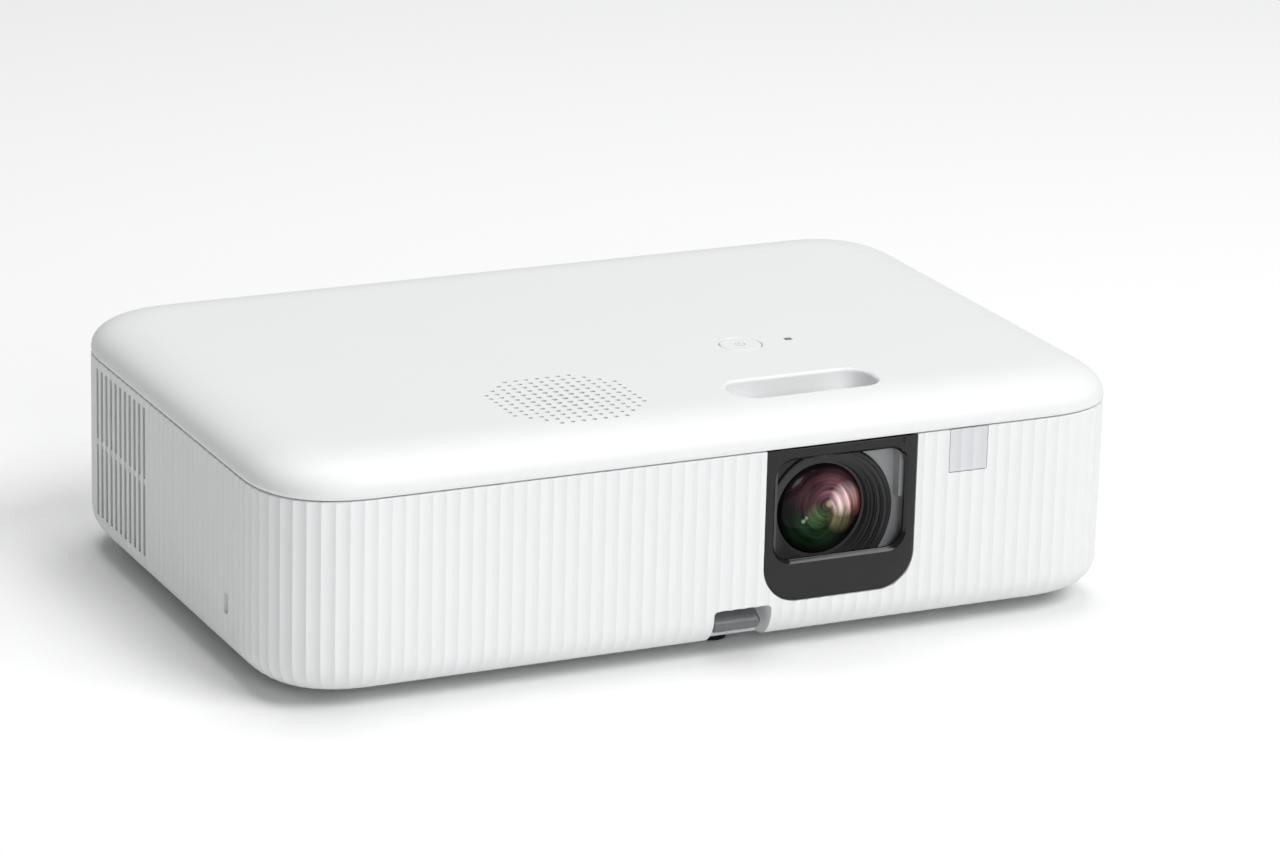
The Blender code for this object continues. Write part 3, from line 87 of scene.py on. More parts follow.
NOTCH_WIDTH = 0.0216
NOTCH_HEIGHT = 0.0133
NOTCH_DEPTH = 0.0123
LINER_WALL = 0.0018


def outline_table(steps=240):
    """Points round the case from the middle of its front, going right, and the way walked to each.

    A corner is |x/r|^p + |y/r|^p = 1 about the end of the straight sides; the sides join the corners.
    """
    angle = np.radians(np.linspace(-90, 270, 4 * steps + 1))[:-1].reshape(4, steps)
    angle = np.concatenate([angle, angle[:, -1:] + np.pi / 2 / steps], axis=1).ravel()
    side_x = np.repeat([1, 1, -1, -1], steps + 1)
    side_y = np.repeat([-1, 1, 1, -1], steps + 1)
    across = np.abs(np.cos(angle)) ** (2 / CORNER_POWER)
    along = np.abs(np.sin(angle)) ** (2 / CORNER_POWER)
    x = side_x * (WIDTH / 2 - CORNER_REACH + CORNER_REACH * across)
    y = side_y * (DEPTH / 2 - CORNER_REACH + CORNER_REACH * along)
    points = np.vstack([[0, -DEPTH / 2], np.column_stack([x, y]), [0, -DEPTH / 2]])
    walked = np.concatenate([[0], np.cumsum(np.linalg.norm(np.diff(points, axis=0), axis=1))])
    return points, walked


OUTLINE, WALKED = outline_table()


def outline_at(walk):
    """The outline's points at these distances from the middle of the front."""
    walk = np.mod(walk, WALKED[-1])
    return np.column_stack([np.interp(walk, WALKED, OUTLINE[:, 0]), np.interp(walk, WALKED, OUTLINE[:, 1])])


def walk_to(side, y):
    """The distance walked to reach height y of the plan on the right (+1) or left (-1) wall."""
    on_wall = np.abs(OUTLINE[:, 0] - side * WIDTH / 2) < 1e-7
    order = np.argsort(OUTLINE[on_wall, 1])
    return float(np.interp(y, OUTLINE[on_wall, 1][order], WALKED[on_wall][order]))


def moved_in(points, inset):
    """The outline shrunk by inset: each point slides towards the end of its straight side."""
    core = np.clip(points, [-WIDTH / 2 + CORNER_REACH, -DEPTH / 2 + CORNER_REACH],
                   [WIDTH / 2 - CORNER_REACH, DEPTH / 2 - CORNER_REACH])
    return core + (points - core) * (1 - np.reshape(inset, (-1, 1)) / CORNER_REACH)


def middle_of(low, high):
    """The middle of a box, as plain numbers."""
    return [(a + b) / 2 for a, b in zip(low, high)]


filter_low, filter_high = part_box("filter_cover")
FILTER_Y, FILTER_Z = middle_of(filter_low, filter_high)[1:]
VENT_Y = middle_of(*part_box("exhaust_fan_frame"))[1]


def flute_table():
    """Where flutes start and end: pairs of flute number and distance walked.

    A ridge stands at the middle of the front, and a valley at each slot of the vents and the filter.
    """
    walks = [0.0]
    numbers = [0.0]
    for side, y, slots in ((1, FILTER_Y, FILTER_SLOTS), (-1, VENT_Y, VENT_COUNT)):
        middle = walk_to(side, y)
        number = np.floor(numbers[-1] + (middle - walks[-1]) / FLUTE_PITCH) + 0.5
        reach = (slots - 1) / 2
        for step in (-reach, reach):
            walks.append(middle + step * SLOT_PITCH)
            numbers.append(number + step)
    numbers.append(np.round(numbers[-1] + (WALKED[-1] - walks[-1]) / FLUTE_PITCH))
    walks.append(WALKED[-1])
    return np.array(numbers), np.array(walks)


FLUTE_NUMBERS, FLUTE_WALKS = flute_table()


def flute_depth(number):
    """Depth of the scallop at a flute number, D (1 - (2t - 1)^2) of its fraction t; ridges are sharp."""
    fraction = np.mod(number, 1)
    return FLUTE_DEPTH * (1 - (2 * fraction - 1) ** 2)


def piece(name, points, faces, sharp=30):
    """A mesh object at the origin from arrays; edges over the sharp angle stay crisp."""
    mesh = bpy.data.meshes.new(name)
    mesh.from_pydata(np.asarray(points, float).reshape(-1, 3).tolist(), [], faces)
    mesh.validate()
    made = bpy.data.objects.new(name, mesh)
    bpy.context.scene.collection.objects.link(made)
    crisp(made, sharp)
    return made


def crisp(made, sharp):
    made.data.shade_smooth()
    made.data.set_sharp_from_angle(angle=math.radians(sharp))


def loft(name, loops, sharp=30, ring=False):
    """A skin through loops of equal length, an array of loops x points x 3.

    Its ends are closed by a flat face, or with ring the last loop joins the first.
    """
    loops = np.asarray(loops, float)
    rows, columns = loops.shape[:2]
    index = np.arange(rows * columns).reshape(rows, columns)
    lower = index if ring else index[:-1]
    upper = np.roll(index, -1, axis=0) if ring else index[1:]
    faces = np.stack([lower, np.roll(lower, -1, axis=1), np.roll(upper, -1, axis=1), upper], axis=-1)
    faces = faces.reshape(-1, 4).tolist()
    if not ring:
        faces += [index[0][::-1].tolist(), index[-1].tolist()]
    made = piece(name, loops, faces, sharp)
    if volume(made) < 0:
        made.data.flip_normals()
    return made


def volume(made):
    """Signed volume: a sixth of the sum of a . (b x c) over the triangles."""
    mesh = made.data
    mesh.calc_loop_triangles()
    corners = np.empty(len(mesh.loop_triangles) * 3, np.int32)
    mesh.loop_triangles.foreach_get("vertices", corners)
    place = np.empty(len(mesh.vertices) * 3)
    mesh.vertices.foreach_get("co", place)
    a, b, c = np.moveaxis(place.reshape(-1, 3)[corners.reshape(-1, 3)], 1, 0)
    return float(np.einsum("ij,ij->i", a, np.cross(b, c)).sum() / 6)


def carve(made, tool, sharp=30, how="DIFFERENCE"):
    """Cut, join or keep only what a second solid covers, and throw that solid away."""
    change = made.modifiers.new("carve", "BOOLEAN")
    change.operation = how
    change.object = tool
    graph = bpy.context.evaluated_depsgraph_get()
    carved = bpy.data.meshes.new_from_object(made.evaluated_get(graph))
    made.modifiers.clear()
    spent = (made.data, tool.data)
    made.data = carved
    carved.name = made.name
    bpy.data.objects.remove(tool)
    for mesh in spent:
        bpy.data.meshes.remove(mesh)
    crisp(made, sharp)


def rounded(left, right, low, high, radii, steps=8):
    """Outline of a rectangle with its corner radii: left-low, right-low, right-high, left-high."""
    quarter = np.linspace(0, np.pi / 2, steps + 1)
    places = ((left, low, 1, 1), (right, low, -1, 1), (right, high, -1, -1), (left, high, 1, -1))
    corners = []
    for turn, (u, v, side, rise), radius in zip((2, 3, 0, 1), places, radii):
        angle = quarter + turn * np.pi / 2
        corners.append(np.column_stack([
            u + radius * (side + np.cos(angle)), v + radius * (rise + np.sin(angle))]))
    return np.concatenate(corners)


def centred(x, y, half_x, half_y, radius, steps):
    """Outline of a rounded rectangle about a point, from its half sizes."""
    return rounded(x - half_x, x + half_x, y - half_y, y + half_y, (radius,) * 4, steps)


def grown(outline, distance):
    """A convex outline moved out by distance, along the mean of its two edge normals at each point."""
    ahead = np.roll(outline, -1, axis=0) - outline
    behind = outline - np.roll(outline, 1, axis=0)
    ahead = np.where(np.abs(ahead).sum(1, keepdims=True) < 1e-9, behind, ahead)
    behind = np.where(np.abs(behind).sum(1, keepdims=True) < 1e-9, ahead, behind)
    normal = sum(np.column_stack([e[:, 1], -e[:, 0]]) / np.linalg.norm(e, axis=1, keepdims=True)
                 for e in (ahead, behind))
    scale = 2 / np.maximum((normal ** 2).sum(1, keepdims=True), 0.5)
    return outline + distance * normal * scale


ACROSS = {"front": (0, 2, 1), "side": (1, 2, 0), "up": (0, 1, 2)}


def along(outline, steps, facing):
    """Loops of one outline: each step is (place along the facing axis, growth of the outline)."""
    u, v, w = ACROSS[facing]
    loops = np.empty((len(steps), len(outline), 3))
    for row, (place, growth) in enumerate(steps):
        loops[row][:, (u, v)] = grown(outline, growth) if growth else outline
        loops[row][:, w] = place
    return loops


def prism(name, outline, start, end, facing, edge=0.0, sharp=30):
    """An outline carried from start to end, with both ends rounded by a quarter circle of radius edge."""
    if not edge:
        return loft(name, along(outline, ((start, 0), (end, 0)), facing), sharp)
    bend = [(edge * (1 - math.cos(t)), -edge * (1 - math.sin(t))) for t in np.linspace(0, np.pi / 2, 5)]
    steps = [(start + rise, growth) for rise, growth in bend]
    steps += [(end - rise, growth) for rise, growth in bend[::-1]]
    return loft(name, along(outline, steps, facing), sharp)


def blocks(name, lows, highs):
    """Several boxes as one mesh, from arrays of their low and high corners."""
    lows = np.atleast_2d(lows)
    highs = np.atleast_2d(highs)
    pick = np.array([[i, j, k] for k in (0, 1) for i, j in ((0, 0), (1, 0), (1, 1), (0, 1))])
    points = np.where(pick[None] == 1, highs[:, None], lows[:, None])
    sides = np.array([(0, 3, 2, 1), (4, 5, 6, 7), (0, 1, 5, 4), (1, 2, 6, 5), (2, 3, 7, 6), (3, 0, 4, 7)])
    faces = (sides[None] + 8 * np.arange(len(lows))[:, None, None]).reshape(-1, 4)
    return piece(name, points, faces.tolist())


def round_edge_rows(low, radius, count):
    """(inset, height) pairs round the bottom edge, from the floor up to the wall."""
    turn = np.linspace(0, np.pi / 2, count)
    return radius * (1 - np.sin(turn)), low + radius * (1 - np.cos(turn))


def stacked(outline, insets, heights):
    """Loops of an outline at these heights; an inset is one number, or one for each point."""
    return np.array([np.column_stack([moved_in(outline, inset), np.full(len(outline), height)])
                     for inset, height in zip(insets, heights)])


def fluted_loops(insets, heights, shares):
    """Loops of the outline with flutes: row k is moved in by insets[k] + shares[k] x the scallop depth."""
    numbers = np.arange(round(FLUTE_NUMBERS[-1] * FLUTE_STEPS)) / FLUTE_STEPS
    outline = outline_at(np.interp(numbers, FLUTE_NUMBERS, FLUTE_WALKS))
    depth = flute_depth(numbers)
    return stacked(outline, [inset + share * depth for inset, share in zip(insets, shares)], heights)


def plain_loops(insets, heights, count):
    """Loops of the outline without flutes, count points in each."""
    return stacked(outline_at(np.arange(count) / count * WALKED[-1]), insets, heights)


def slots(name, near, far, middle, count, rows):
    """Upright slots in a side wall from x = near to far, one to a flute, each row with its (low, high)."""
    places = middle + (np.arange(count) - (count - 1) / 2) * SLOT_PITCH
    lows = [(near, y - VENT_WIDTH / 2, low) for y in places for low, _ in rows]
    highs = [(far, y + VENT_WIDTH / 2, high) for y in places for _, high in rows]
    return blocks(name, lows, highs)


RIM_EDGE = 0.0003
FLAT_INSET = 0.016           # where the flat of the floor begins
LIP_INSET = WALL + 0.0007
LIP_WALL = 0.0012
LIP_HEIGHT = 0.0019
edge_in, edge_up = round_edge_rows(FLOOR, EDGE_RADIUS, 12)
fade = np.clip((np.linspace(0, 90, 12) - 8) / 40, 0, 1)      # flutes start 8 degrees up the bottom edge
insets = [FLAT_INSET, *edge_in, 0, 0, RIM_EDGE, LIP_INSET, LIP_INSET]
heights = [FLOOR, *edge_up, (FLOOR + RIM) / 2, RIM - RIM_EDGE, RIM, RIM, RIM + LIP_HEIGHT]
shares = [0, *(fade * fade * (3 - 2 * fade)), 1, 1, 1, 0, 0]
tray = loft("tray", fluted_loops(insets, heights, shares), 22)

hollow_in, hollow_up = round_edge_rows(FLOOR + WALL, EDGE_RADIUS - WALL, 6)
hollow = loft("hollow", plain_loops(
    [FLAT_INSET, *(WALL + hollow_in), WALL, LIP_INSET + LIP_WALL, LIP_INSET + LIP_WALL],
    [FLOOR + WALL, *hollow_up, RIM - LIP_WALL, RIM - LIP_WALL, RIM + WALL], 160))
foot_low, foot_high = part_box("front_foot")
FOOT_X, FOOT_Y = middle_of(foot_low, foot_high)[:2]
FRONT = tray_low.y
BACK = tray_high.y
LEFT = tray_low.x
RIGHT = tray_high.x
notch_left = FOOT_X - NOTCH_WIDTH / 2
notch_right = FOOT_X + NOTCH_WIDTH / 2
notch_top = FLOOR + NOTCH_HEIGHT
notch_back = FRONT + NOTCH_DEPTH
carve(hollow, blocks(
    "liner", (notch_left - LINER_WALL, FRONT - WALL, FLOOR - WALL),
    (notch_right + LINER_WALL, notch_back + LINER_WALL, notch_top + LINER_WALL)))
SCREW_BOSS_TOP = FLOOR + WALL + 0.030
CEILING_BOSS_TOP = FLOOR + WALL + 0.008
BOSS_RADIUS = 0.0055
CEILING_HOLES = ((RIGHT - 0.045, FRONT + 0.0355), (RIGHT - 0.065, BACK - 0.0415), (LEFT + 0.022, 0.0))
screw_boxes = [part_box(f"case_screw_{number}") for number in range(1, 5)]
screw_places = [middle_of(*ends)[:2] for ends in screw_boxes]
for places, boss_top in ((screw_places, SCREW_BOSS_TOP), (CEILING_HOLES, CEILING_BOSS_TOP)):
    for x, y in places:
        boss = centred(x, y, BOSS_RADIUS, BOSS_RADIUS, BOSS_RADIUS * 0.98, 6)
        carve(hollow, prism("boss", boss, FLOOR - WALL, boss_top, "up"))
carve(tray, hollow, 22)

notch = rounded(notch_left, notch_right, FLOOR - 0.01, notch_top, (0.0002, 0.0002, 0.0016, 0.0016))
carve(tray, prism("notch", notch, FRONT - WALL, notch_back, "front"), 22)
PIVOT_Y, PIVOT_Z = middle_of(*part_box("lever_pin"))[1:]
ARM_SLOT_HALF = 0.0038
ARM_SLOT_DROP = 0.0035
ARM_SLOT_RISE = 0.0047
carve(tray, blocks(
    "arm_slot", (FOOT_X - ARM_SLOT_HALF, notch_back - WALL, PIVOT_Z - ARM_SLOT_DROP),
    (FOOT_X + ARM_SLOT_HALF, notch_back + 2 * LINER_WALL, PIVOT_Z + ARM_SLOT_RISE)), 22)
BEZEL_CORNER = 0.013
carve(tray, prism("bezel_opening", rounded(
    bezel_low.x - GAP, bezel_high.x + GAP, bezel_low.z - GAP, RIM + 0.01,
    (BEZEL_CORNER + GAP, BEZEL_CORNER + GAP, 0.0002, 0.0002), 14),
    FRONT - WALL, FRONT + 2.2 * WALL, "front"), 22)
receiver_low, receiver_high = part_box("receiver_window")
carve(tray, prism("receiver_opening", rounded(
    receiver_low.x - GAP, receiver_high.x + GAP, receiver_low.z - GAP, RIM + 0.01,
    (0.0009, 0.0009, 0.0002, 0.0002)), FRONT - WALL, FRONT + 2 * WALL, "front"), 22)
slot_rows = ((VENT_BOTTOM, (VENT_BOTTOM + VENT_TOP - VENT_RIB) / 2),
             ((VENT_BOTTOM + VENT_TOP + VENT_RIB) / 2, VENT_TOP))
carve(tray, slots("vents", LEFT - WALL, LEFT + 2 * WALL, VENT_Y, VENT_COUNT, slot_rows), 22)
groove_rows = ((VENT_BOTTOM + VENT_RIB, VENT_TOP - VENT_RIB),)
carve(tray, slots("rib_grooves", LEFT - WALL, LEFT + RIB_SINK, VENT_Y, VENT_COUNT, groove_rows), 22)
LOCK_Y = FRONT + 0.0500
LOCK_Z = FLOOR + 0.0203
LOCK_DEPTH = 0.0019
LOCK_HALF_WIDTH = 0.0015
LOCK_HALF_HEIGHT = 0.00375
lock = centred(LOCK_Y, LOCK_Z, LOCK_HALF_WIDTH, LOCK_HALF_HEIGHT, 0.0008, 4)
carve(tray, prism("lock_slot", lock, LEFT - WALL, LEFT + LOCK_DEPTH, "side"), 22)
panel_low, panel_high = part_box("rear_panel")
door_low, door_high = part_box("lamp_cover")
post_half = 0.0048
carve(tray, blocks("openings", [
    (RIGHT - 2 * WALL, filter_low.y - GAP, filter_low.z - GAP),
    (panel_low.x - GAP, BACK - 2 * WALL, panel_low.z - GAP),
    (FOOT_X - post_half, FOOT_Y - post_half, FLOOR - WALL),
    (door_low.x - GAP, door_low.y - GAP, FLOOR - WALL)], [
    (RIGHT + WALL, filter_high.y + GAP, filter_high.z + GAP),
    (panel_high.x + GAP, BACK + WALL, panel_high.z + GAP),
    (FOOT_X + post_half, FOOT_Y + post_half, FLOOR + 2 * WALL),
    (door_high.x + GAP, door_high.y + GAP, FLOOR + 2 * WALL)]), 22)


def turned(name, profile, place, axis, steps=64, sharp=30, ring=False):
    """A profile of (radius, height) points carried round an axis through place.

    Point k goes to place + radius (cos a, sin a) across the axis + height along it.
    """
    profile = np.asarray(profile, float)
    angle = np.arange(steps) / steps * 2 * np.pi
    u, v, w = ACROSS[axis]
    loops = np.empty((len(profile), steps, 3))
    loops[..., u] = profile[:, :1] * np.cos(angle) + place[u]
    loops[..., v] = profile[:, :1] * np.sin(angle) + place[v]
    loops[..., w] = profile[:, 1:] + place[w]
    return loft(name, loops, sharp, ring)


HEAD_HOLE_RADIUS = 0.0035
SHANK_HOLE_RADIUS = 0.0017
HEAD_ROOM = 0.0030
CEILING_HOLE_RADIUS = 0.002
screw_hole = ((HEAD_HOLE_RADIUS, FLOOR - WALL), (HEAD_HOLE_RADIUS, FLOOR + HEAD_ROOM),
              (SHANK_HOLE_RADIUS, FLOOR + HEAD_ROOM), (SHANK_HOLE_RADIUS, screw_boxes[0][1].z + GAP))
ceiling_hole = ((CEILING_HOLE_RADIUS, FLOOR - WALL), (CEILING_HOLE_RADIUS, CEILING_BOSS_TOP - WALL))
for places, profile in ((screw_places, screw_hole), (CEILING_HOLES, ceiling_hole)):
    for x, y in places:
        carve(tray, turned("hole", profile, (x, y, 0), "up", 24), 22)


def finish_of(name, colour, roughness, metallic=0.0, specular=0.5, coat=0.0):
    """A Principled material with its even values on their own sockets, its node tree and the shader."""
    made = bpy.data.materials.new(name)
    made.use_nodes = True
    shader = made.node_tree.nodes["Principled BSDF"]
    for socket, value in (
            ("Base Color", (*colour, 1)), ("Roughness", roughness), ("Metallic", metallic),
            ("Specular IOR Level", specular), ("Coat Weight", coat), ("Coat Roughness", 0.05)):
        shader.inputs[socket].default_value = value
    return made, made.node_tree, shader


def node(tree, kind, **values):
    """A node with its inputs and properties set by name; another node's output is linked."""
    made = tree.nodes.new(kind)
    for key, value in values.items():
        if isinstance(value, bpy.types.NodeSocket):
            tree.links.new(value, made.inputs[key])
        elif key in made.inputs:
            made.inputs[key].default_value = value
        else:
            setattr(made, key, value)
    return made


def noise(tree, place, scale, detail, roughness=0.5):
    """The value of a noise over a place."""
    return node(tree, "ShaderNodeTexNoise", Vector=place, Scale=scale, Detail=detail,
                Roughness=roughness).outputs["Fac"]


def vary_gloss(tree, shader, value, low, high):
    """Roughness that runs from low to high with a value."""
    gloss = node(tree, "ShaderNodeMapRange", Value=value, **{"To Min": low, "To Max": high})
    tree.links.new(gloss.outputs["Result"], shader.inputs["Roughness"])


def moulded(name, colour, roughness, grain=2600, bump=0.00002, drift=0.02, **more):
    """A fine grain in bump and gloss, and a slow drift of shade over the piece, as moulded plastic has."""
    made, tree, shader = finish_of(name, colour, roughness, **more)
    place = node(tree, "ShaderNodeTexCoord").outputs["Object"]
    fine = noise(tree, place, grain, 2.0, 0.6)
    slow = noise(tree, place, 26.0, 3.0)
    shade = node(tree, "ShaderNodeValToRGB", Fac=slow)
    for end, share in zip(shade.color_ramp.elements, (1 - drift, 1 + drift)):
        end.color = (*[min(1, c * share) for c in colour], 1)
    tree.links.new(shade.outputs["Color"], shader.inputs["Base Color"])
    vary_gloss(tree, shader, fine, roughness - 0.04, roughness + 0.04)
    relief = node(tree, "ShaderNodeBump", Strength=0.6, Distance=bump, Height=fine)
    tree.links.new(relief.outputs["Normal"], shader.inputs["Normal"])
    return made


def dress(made, material, body, slot, *stands_for):
    """Give a piece its finish, the body it rides on and the frame nodes that it stands for; slot is not
    used.
    """
    made.data.materials.clear()
    made.data.materials.append(material)
    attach(made, body)
    if stands_for:
        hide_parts(*stands_for)


def recoat(material, slot, *names):
    """A better finish for frame nodes whose shape is right as it is."""
    for name in names:
        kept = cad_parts[name]
        kept.data.materials.clear()
        kept.data.materials.append(material)


WHITE = (0.80, 0.81, 0.812)
white_plastic = moulded("white_plastic", WHITE, 0.50, drift=0.008)
dress(tray, white_plastic, "case", "white_case", "lower_case")

# -------- feet, lever and its pin
# Two fixed rubber feet at the back; in front one foot on a square post that the lever lets go.
# The lever is a satin grey bar with a chamfered top edge, on a short arm round a steel pin.
rubber = moulded("black_rubber", (0.012, 0.012, 0.013), 0.85, grain=1800, bump=0.00004, drift=0.1,
                 specular=0.3)
FOOT_BEVEL = 0.0010
PAD_GROOVE = 0.0004
for name in ("rear_foot_left", "rear_foot_right"):
    low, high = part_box(name)
    radius = (high.x - low.x) / 2
    turn = np.linspace(0, np.pi / 2, 6)
    rim = [(radius - FOOT_BEVEL + FOOT_BEVEL * math.sin(t), low.z + FOOT_BEVEL * (1 - math.cos(t)))
           for t in turn]
    profile = [(radius * 0.3, low.z), (radius * 0.55, low.z), (radius * 0.60, low.z + PAD_GROOVE),
               (radius * 0.66, low.z + PAD_GROOVE), (radius * 0.70, low.z), *rim, (radius, high.z)]
    pad = turned(name + "_pad", profile, (*middle_of(low, high)[:2], 0), "up")
    dress(pad, rubber, "case", "black_rubber", name)
sole_low, sole_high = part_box("front_foot_sole")
sole_radius = (sole_high.x - sole_low.x) / 2
foot_place = (FOOT_X, FOOT_Y, 0)
sole_profile = [
    (sole_radius * 0.4, 0), (sole_radius * 0.78, 0), (sole_radius * 0.80, 0.0003),
    (sole_radius * 0.85, 0.0003), (sole_radius * 0.87, 0), (sole_radius - 0.0006, 0),
    (sole_radius - 0.0002, 0.0002), (sole_radius, 0.0006), (sole_radius, sole_high.z)]
sole = turned("front_sole", sole_profile, foot_place, "up")
dress(sole, rubber, "front_foot_body", "black_rubber", "front_foot_sole")
pale_plastic = moulded("pale_grey_plastic", (0.46, 0.47, 0.48), 0.45, drift=0.02)
disc_top = FLOOR - 2 * GAP
post_grip = 0.0045
foot = turned("front_foot_post", [
    (0.002, sole_high.z + GAP), (sole_radius, sole_high.z + GAP), (sole_radius, disc_top - 0.0004),
    (sole_radius - 0.0004, disc_top), (0.002, disc_top)], foot_place, "up")
post = centred(FOOT_X, FOOT_Y, post_grip, post_grip, 0.0006, 4)
carve(foot, prism("post", post, sole_high.z + 2 * GAP, foot_high.z, "up", 0.0004), how="UNION")
TOOTH_PITCH = 0.0016
TOOTH_HALF_WIDTH = 0.002
TOOTH_DEPTH = 0.0004
teeth = np.arange(sole_high.z + 0.012, foot_high.z - 0.004, TOOTH_PITCH)
tooth_back = FOOT_Y - post_grip + TOOTH_DEPTH
carve(foot, blocks(
    "ratchet", [(FOOT_X - TOOTH_HALF_WIDTH, FOOT_Y - 0.006, z) for z in teeth],
    [(FOOT_X + TOOTH_HALF_WIDTH, tooth_back, z + TOOTH_PITCH / 2) for z in teeth]))
dress(foot, pale_plastic, "front_foot_body", "pale_grey_plastic", "front_foot")

lever_low, lever_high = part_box("foot_lever")
bar_back = lever_low.y + 0.0074
LEVER_BEND = lever_high.z - 0.0034   # where the sloped upper facet meets the upright one
bar = np.array([
    (bar_back, lever_low.z + 0.0010), (bar_back, lever_high.z - 0.0008), (bar_back - 0.0008, lever_high.z),
    (lever_low.y + 0.0050, lever_high.z), (lever_low.y + 0.0042, lever_high.z - 0.0003),
    (lever_low.y + 0.0002, LEVER_BEND + 0.0002), (lever_low.y, LEVER_BEND - 0.0002),
    (lever_low.y, lever_low.z + 0.0014), (lever_low.y + 0.0003, lever_low.z + 0.0007),
    (lever_low.y + 0.0016, lever_low.z)])
lever = loft("release_lever", along(bar, (
    (lever_low.x, -0.0016), (lever_low.x + 0.0011, -0.0002), (lever_low.x + 0.0014, 0),
    (lever_high.x - 0.0018, 0), (lever_high.x - 0.0015, -0.0002), (lever_high.x, -0.0018)), "side"), 20)
ARM_HALF = 0.0032
ARM_HALF_HEIGHT = 0.0013
HUB_RADIUS = 0.0018
BORE_RADIUS = 0.0012
pivot = (0, PIVOT_Y, PIVOT_Z)
carve(lever, blocks(
    "arm", (FOOT_X - ARM_HALF, bar_back - 0.001, PIVOT_Z - ARM_HALF_HEIGHT),
    (FOOT_X + ARM_HALF, PIVOT_Y, PIVOT_Z + ARM_HALF_HEIGHT)), how="UNION")
for radius, reach, how in ((HUB_RADIUS, ARM_HALF, "UNION"), (BORE_RADIUS, 0.01, "DIFFERENCE")):
    bearing = turned("bearing", ((radius, FOOT_X - reach), (radius, FOOT_X + reach)), pivot, "side", 32)
    carve(lever, bearing, how=how)
lever_grey = moulded("lever_grey", (0.135, 0.138, 0.146), 0.36, drift=0.04)
dress(lever, lever_grey, "foot_lever_body", "lever_grey", "foot_lever")

# -------- lens hood, glass and focus ring
# The objective: a black hood stepped down to a domed front glass, a plain rear glass, a fixed
# barrel, and a ribbed ring whose crown is turned from the finger recess.
cell_low, cell_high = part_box("lens_cell")
glass_low, glass_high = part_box("front_lens")
LENS_X, LENS_Z = middle_of(cell_low, cell_high)[::2]
HOOD_RADIUS = (cell_high.x - cell_low.x) / 2
GLASS_RADIUS = (glass_high.x - glass_low.x) / 2
lens_axis = (LENS_X, 0, LENS_Z)
barrel_low, barrel_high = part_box("lens_barrel")
SEAT = glass_low.y + 0.0042      # where the glass meets its retaining ring
SLEEVE = HOOD_RADIUS - 0.0016
GROOVE = 0.0004
ledge_radii = HOOD_RADIUS - np.array([0.0016, 0.0031, 0.0047, 0.0059])
ledge_depths = cell_low.y + np.array([0.0007, 0.0024, 0.0044])
steps = []
for radius, depth, inner in zip(ledge_radii, ledge_depths, ledge_radii[1:]):
    steps += [(radius, depth), (inner + GROOVE, depth), (inner + GROOVE, depth + 2 * GROOVE),
              (inner, depth + 2 * GROOVE)]
steps += [(GLASS_RADIUS + 0.0021, SEAT - 0.0030), (GLASS_RADIUS + 0.0017, SEAT - 0.0030),
          (GLASS_RADIUS + 0.0012, SEAT - 0.0010)]
hood_profile = [
    (HOOD_RADIUS - 0.0012, cell_low.y), (HOOD_RADIUS - 0.0003, cell_low.y + 0.0001),
    (HOOD_RADIUS, cell_low.y + 0.0004), (HOOD_RADIUS, cell_low.y + 0.0048),
    (SLEEVE, cell_low.y + 0.0055), (SLEEVE, cell_high.y),
    (GLASS_RADIUS - 0.001, cell_high.y), (GLASS_RADIUS - 0.001, glass_high.y + GAP),
    (GLASS_RADIUS + GAP, glass_high.y + GAP), (GLASS_RADIUS + GAP, SEAT - 0.0008), *steps[::-1]]
black_plastic = moulded("black_plastic", (0.017, 0.017, 0.018), 0.42, grain=1500, drift=0.1, specular=0.35)
hood = turned("lens_hood", hood_profile, lens_axis, "front", 128, 24, ring=True)
hood_black = moulded("hood_black", (0.032, 0.032, 0.034), 0.5, grain=1500, drift=0.06, specular=0.4)
dress(hood, hood_black, "lens_group", "black_plastic", "lens_cell")

SAG = SEAT - glass_low.y
DOME_SHARE = 0.985           # of a half ellipse, so that the rim isn't upright
glass_profile = [(GLASS_RADIUS * t, SEAT - SAG * math.sqrt(1 - (DOME_SHARE * t) ** 2))
                 for t in np.linspace(0.015, 1, 26)]
glass_profile += [(GLASS_RADIUS, glass_high.y - 0.0002), (GLASS_RADIUS * 0.6, glass_high.y)]
glass = turned("front_glass", glass_profile, lens_axis, "front", 128, 40)


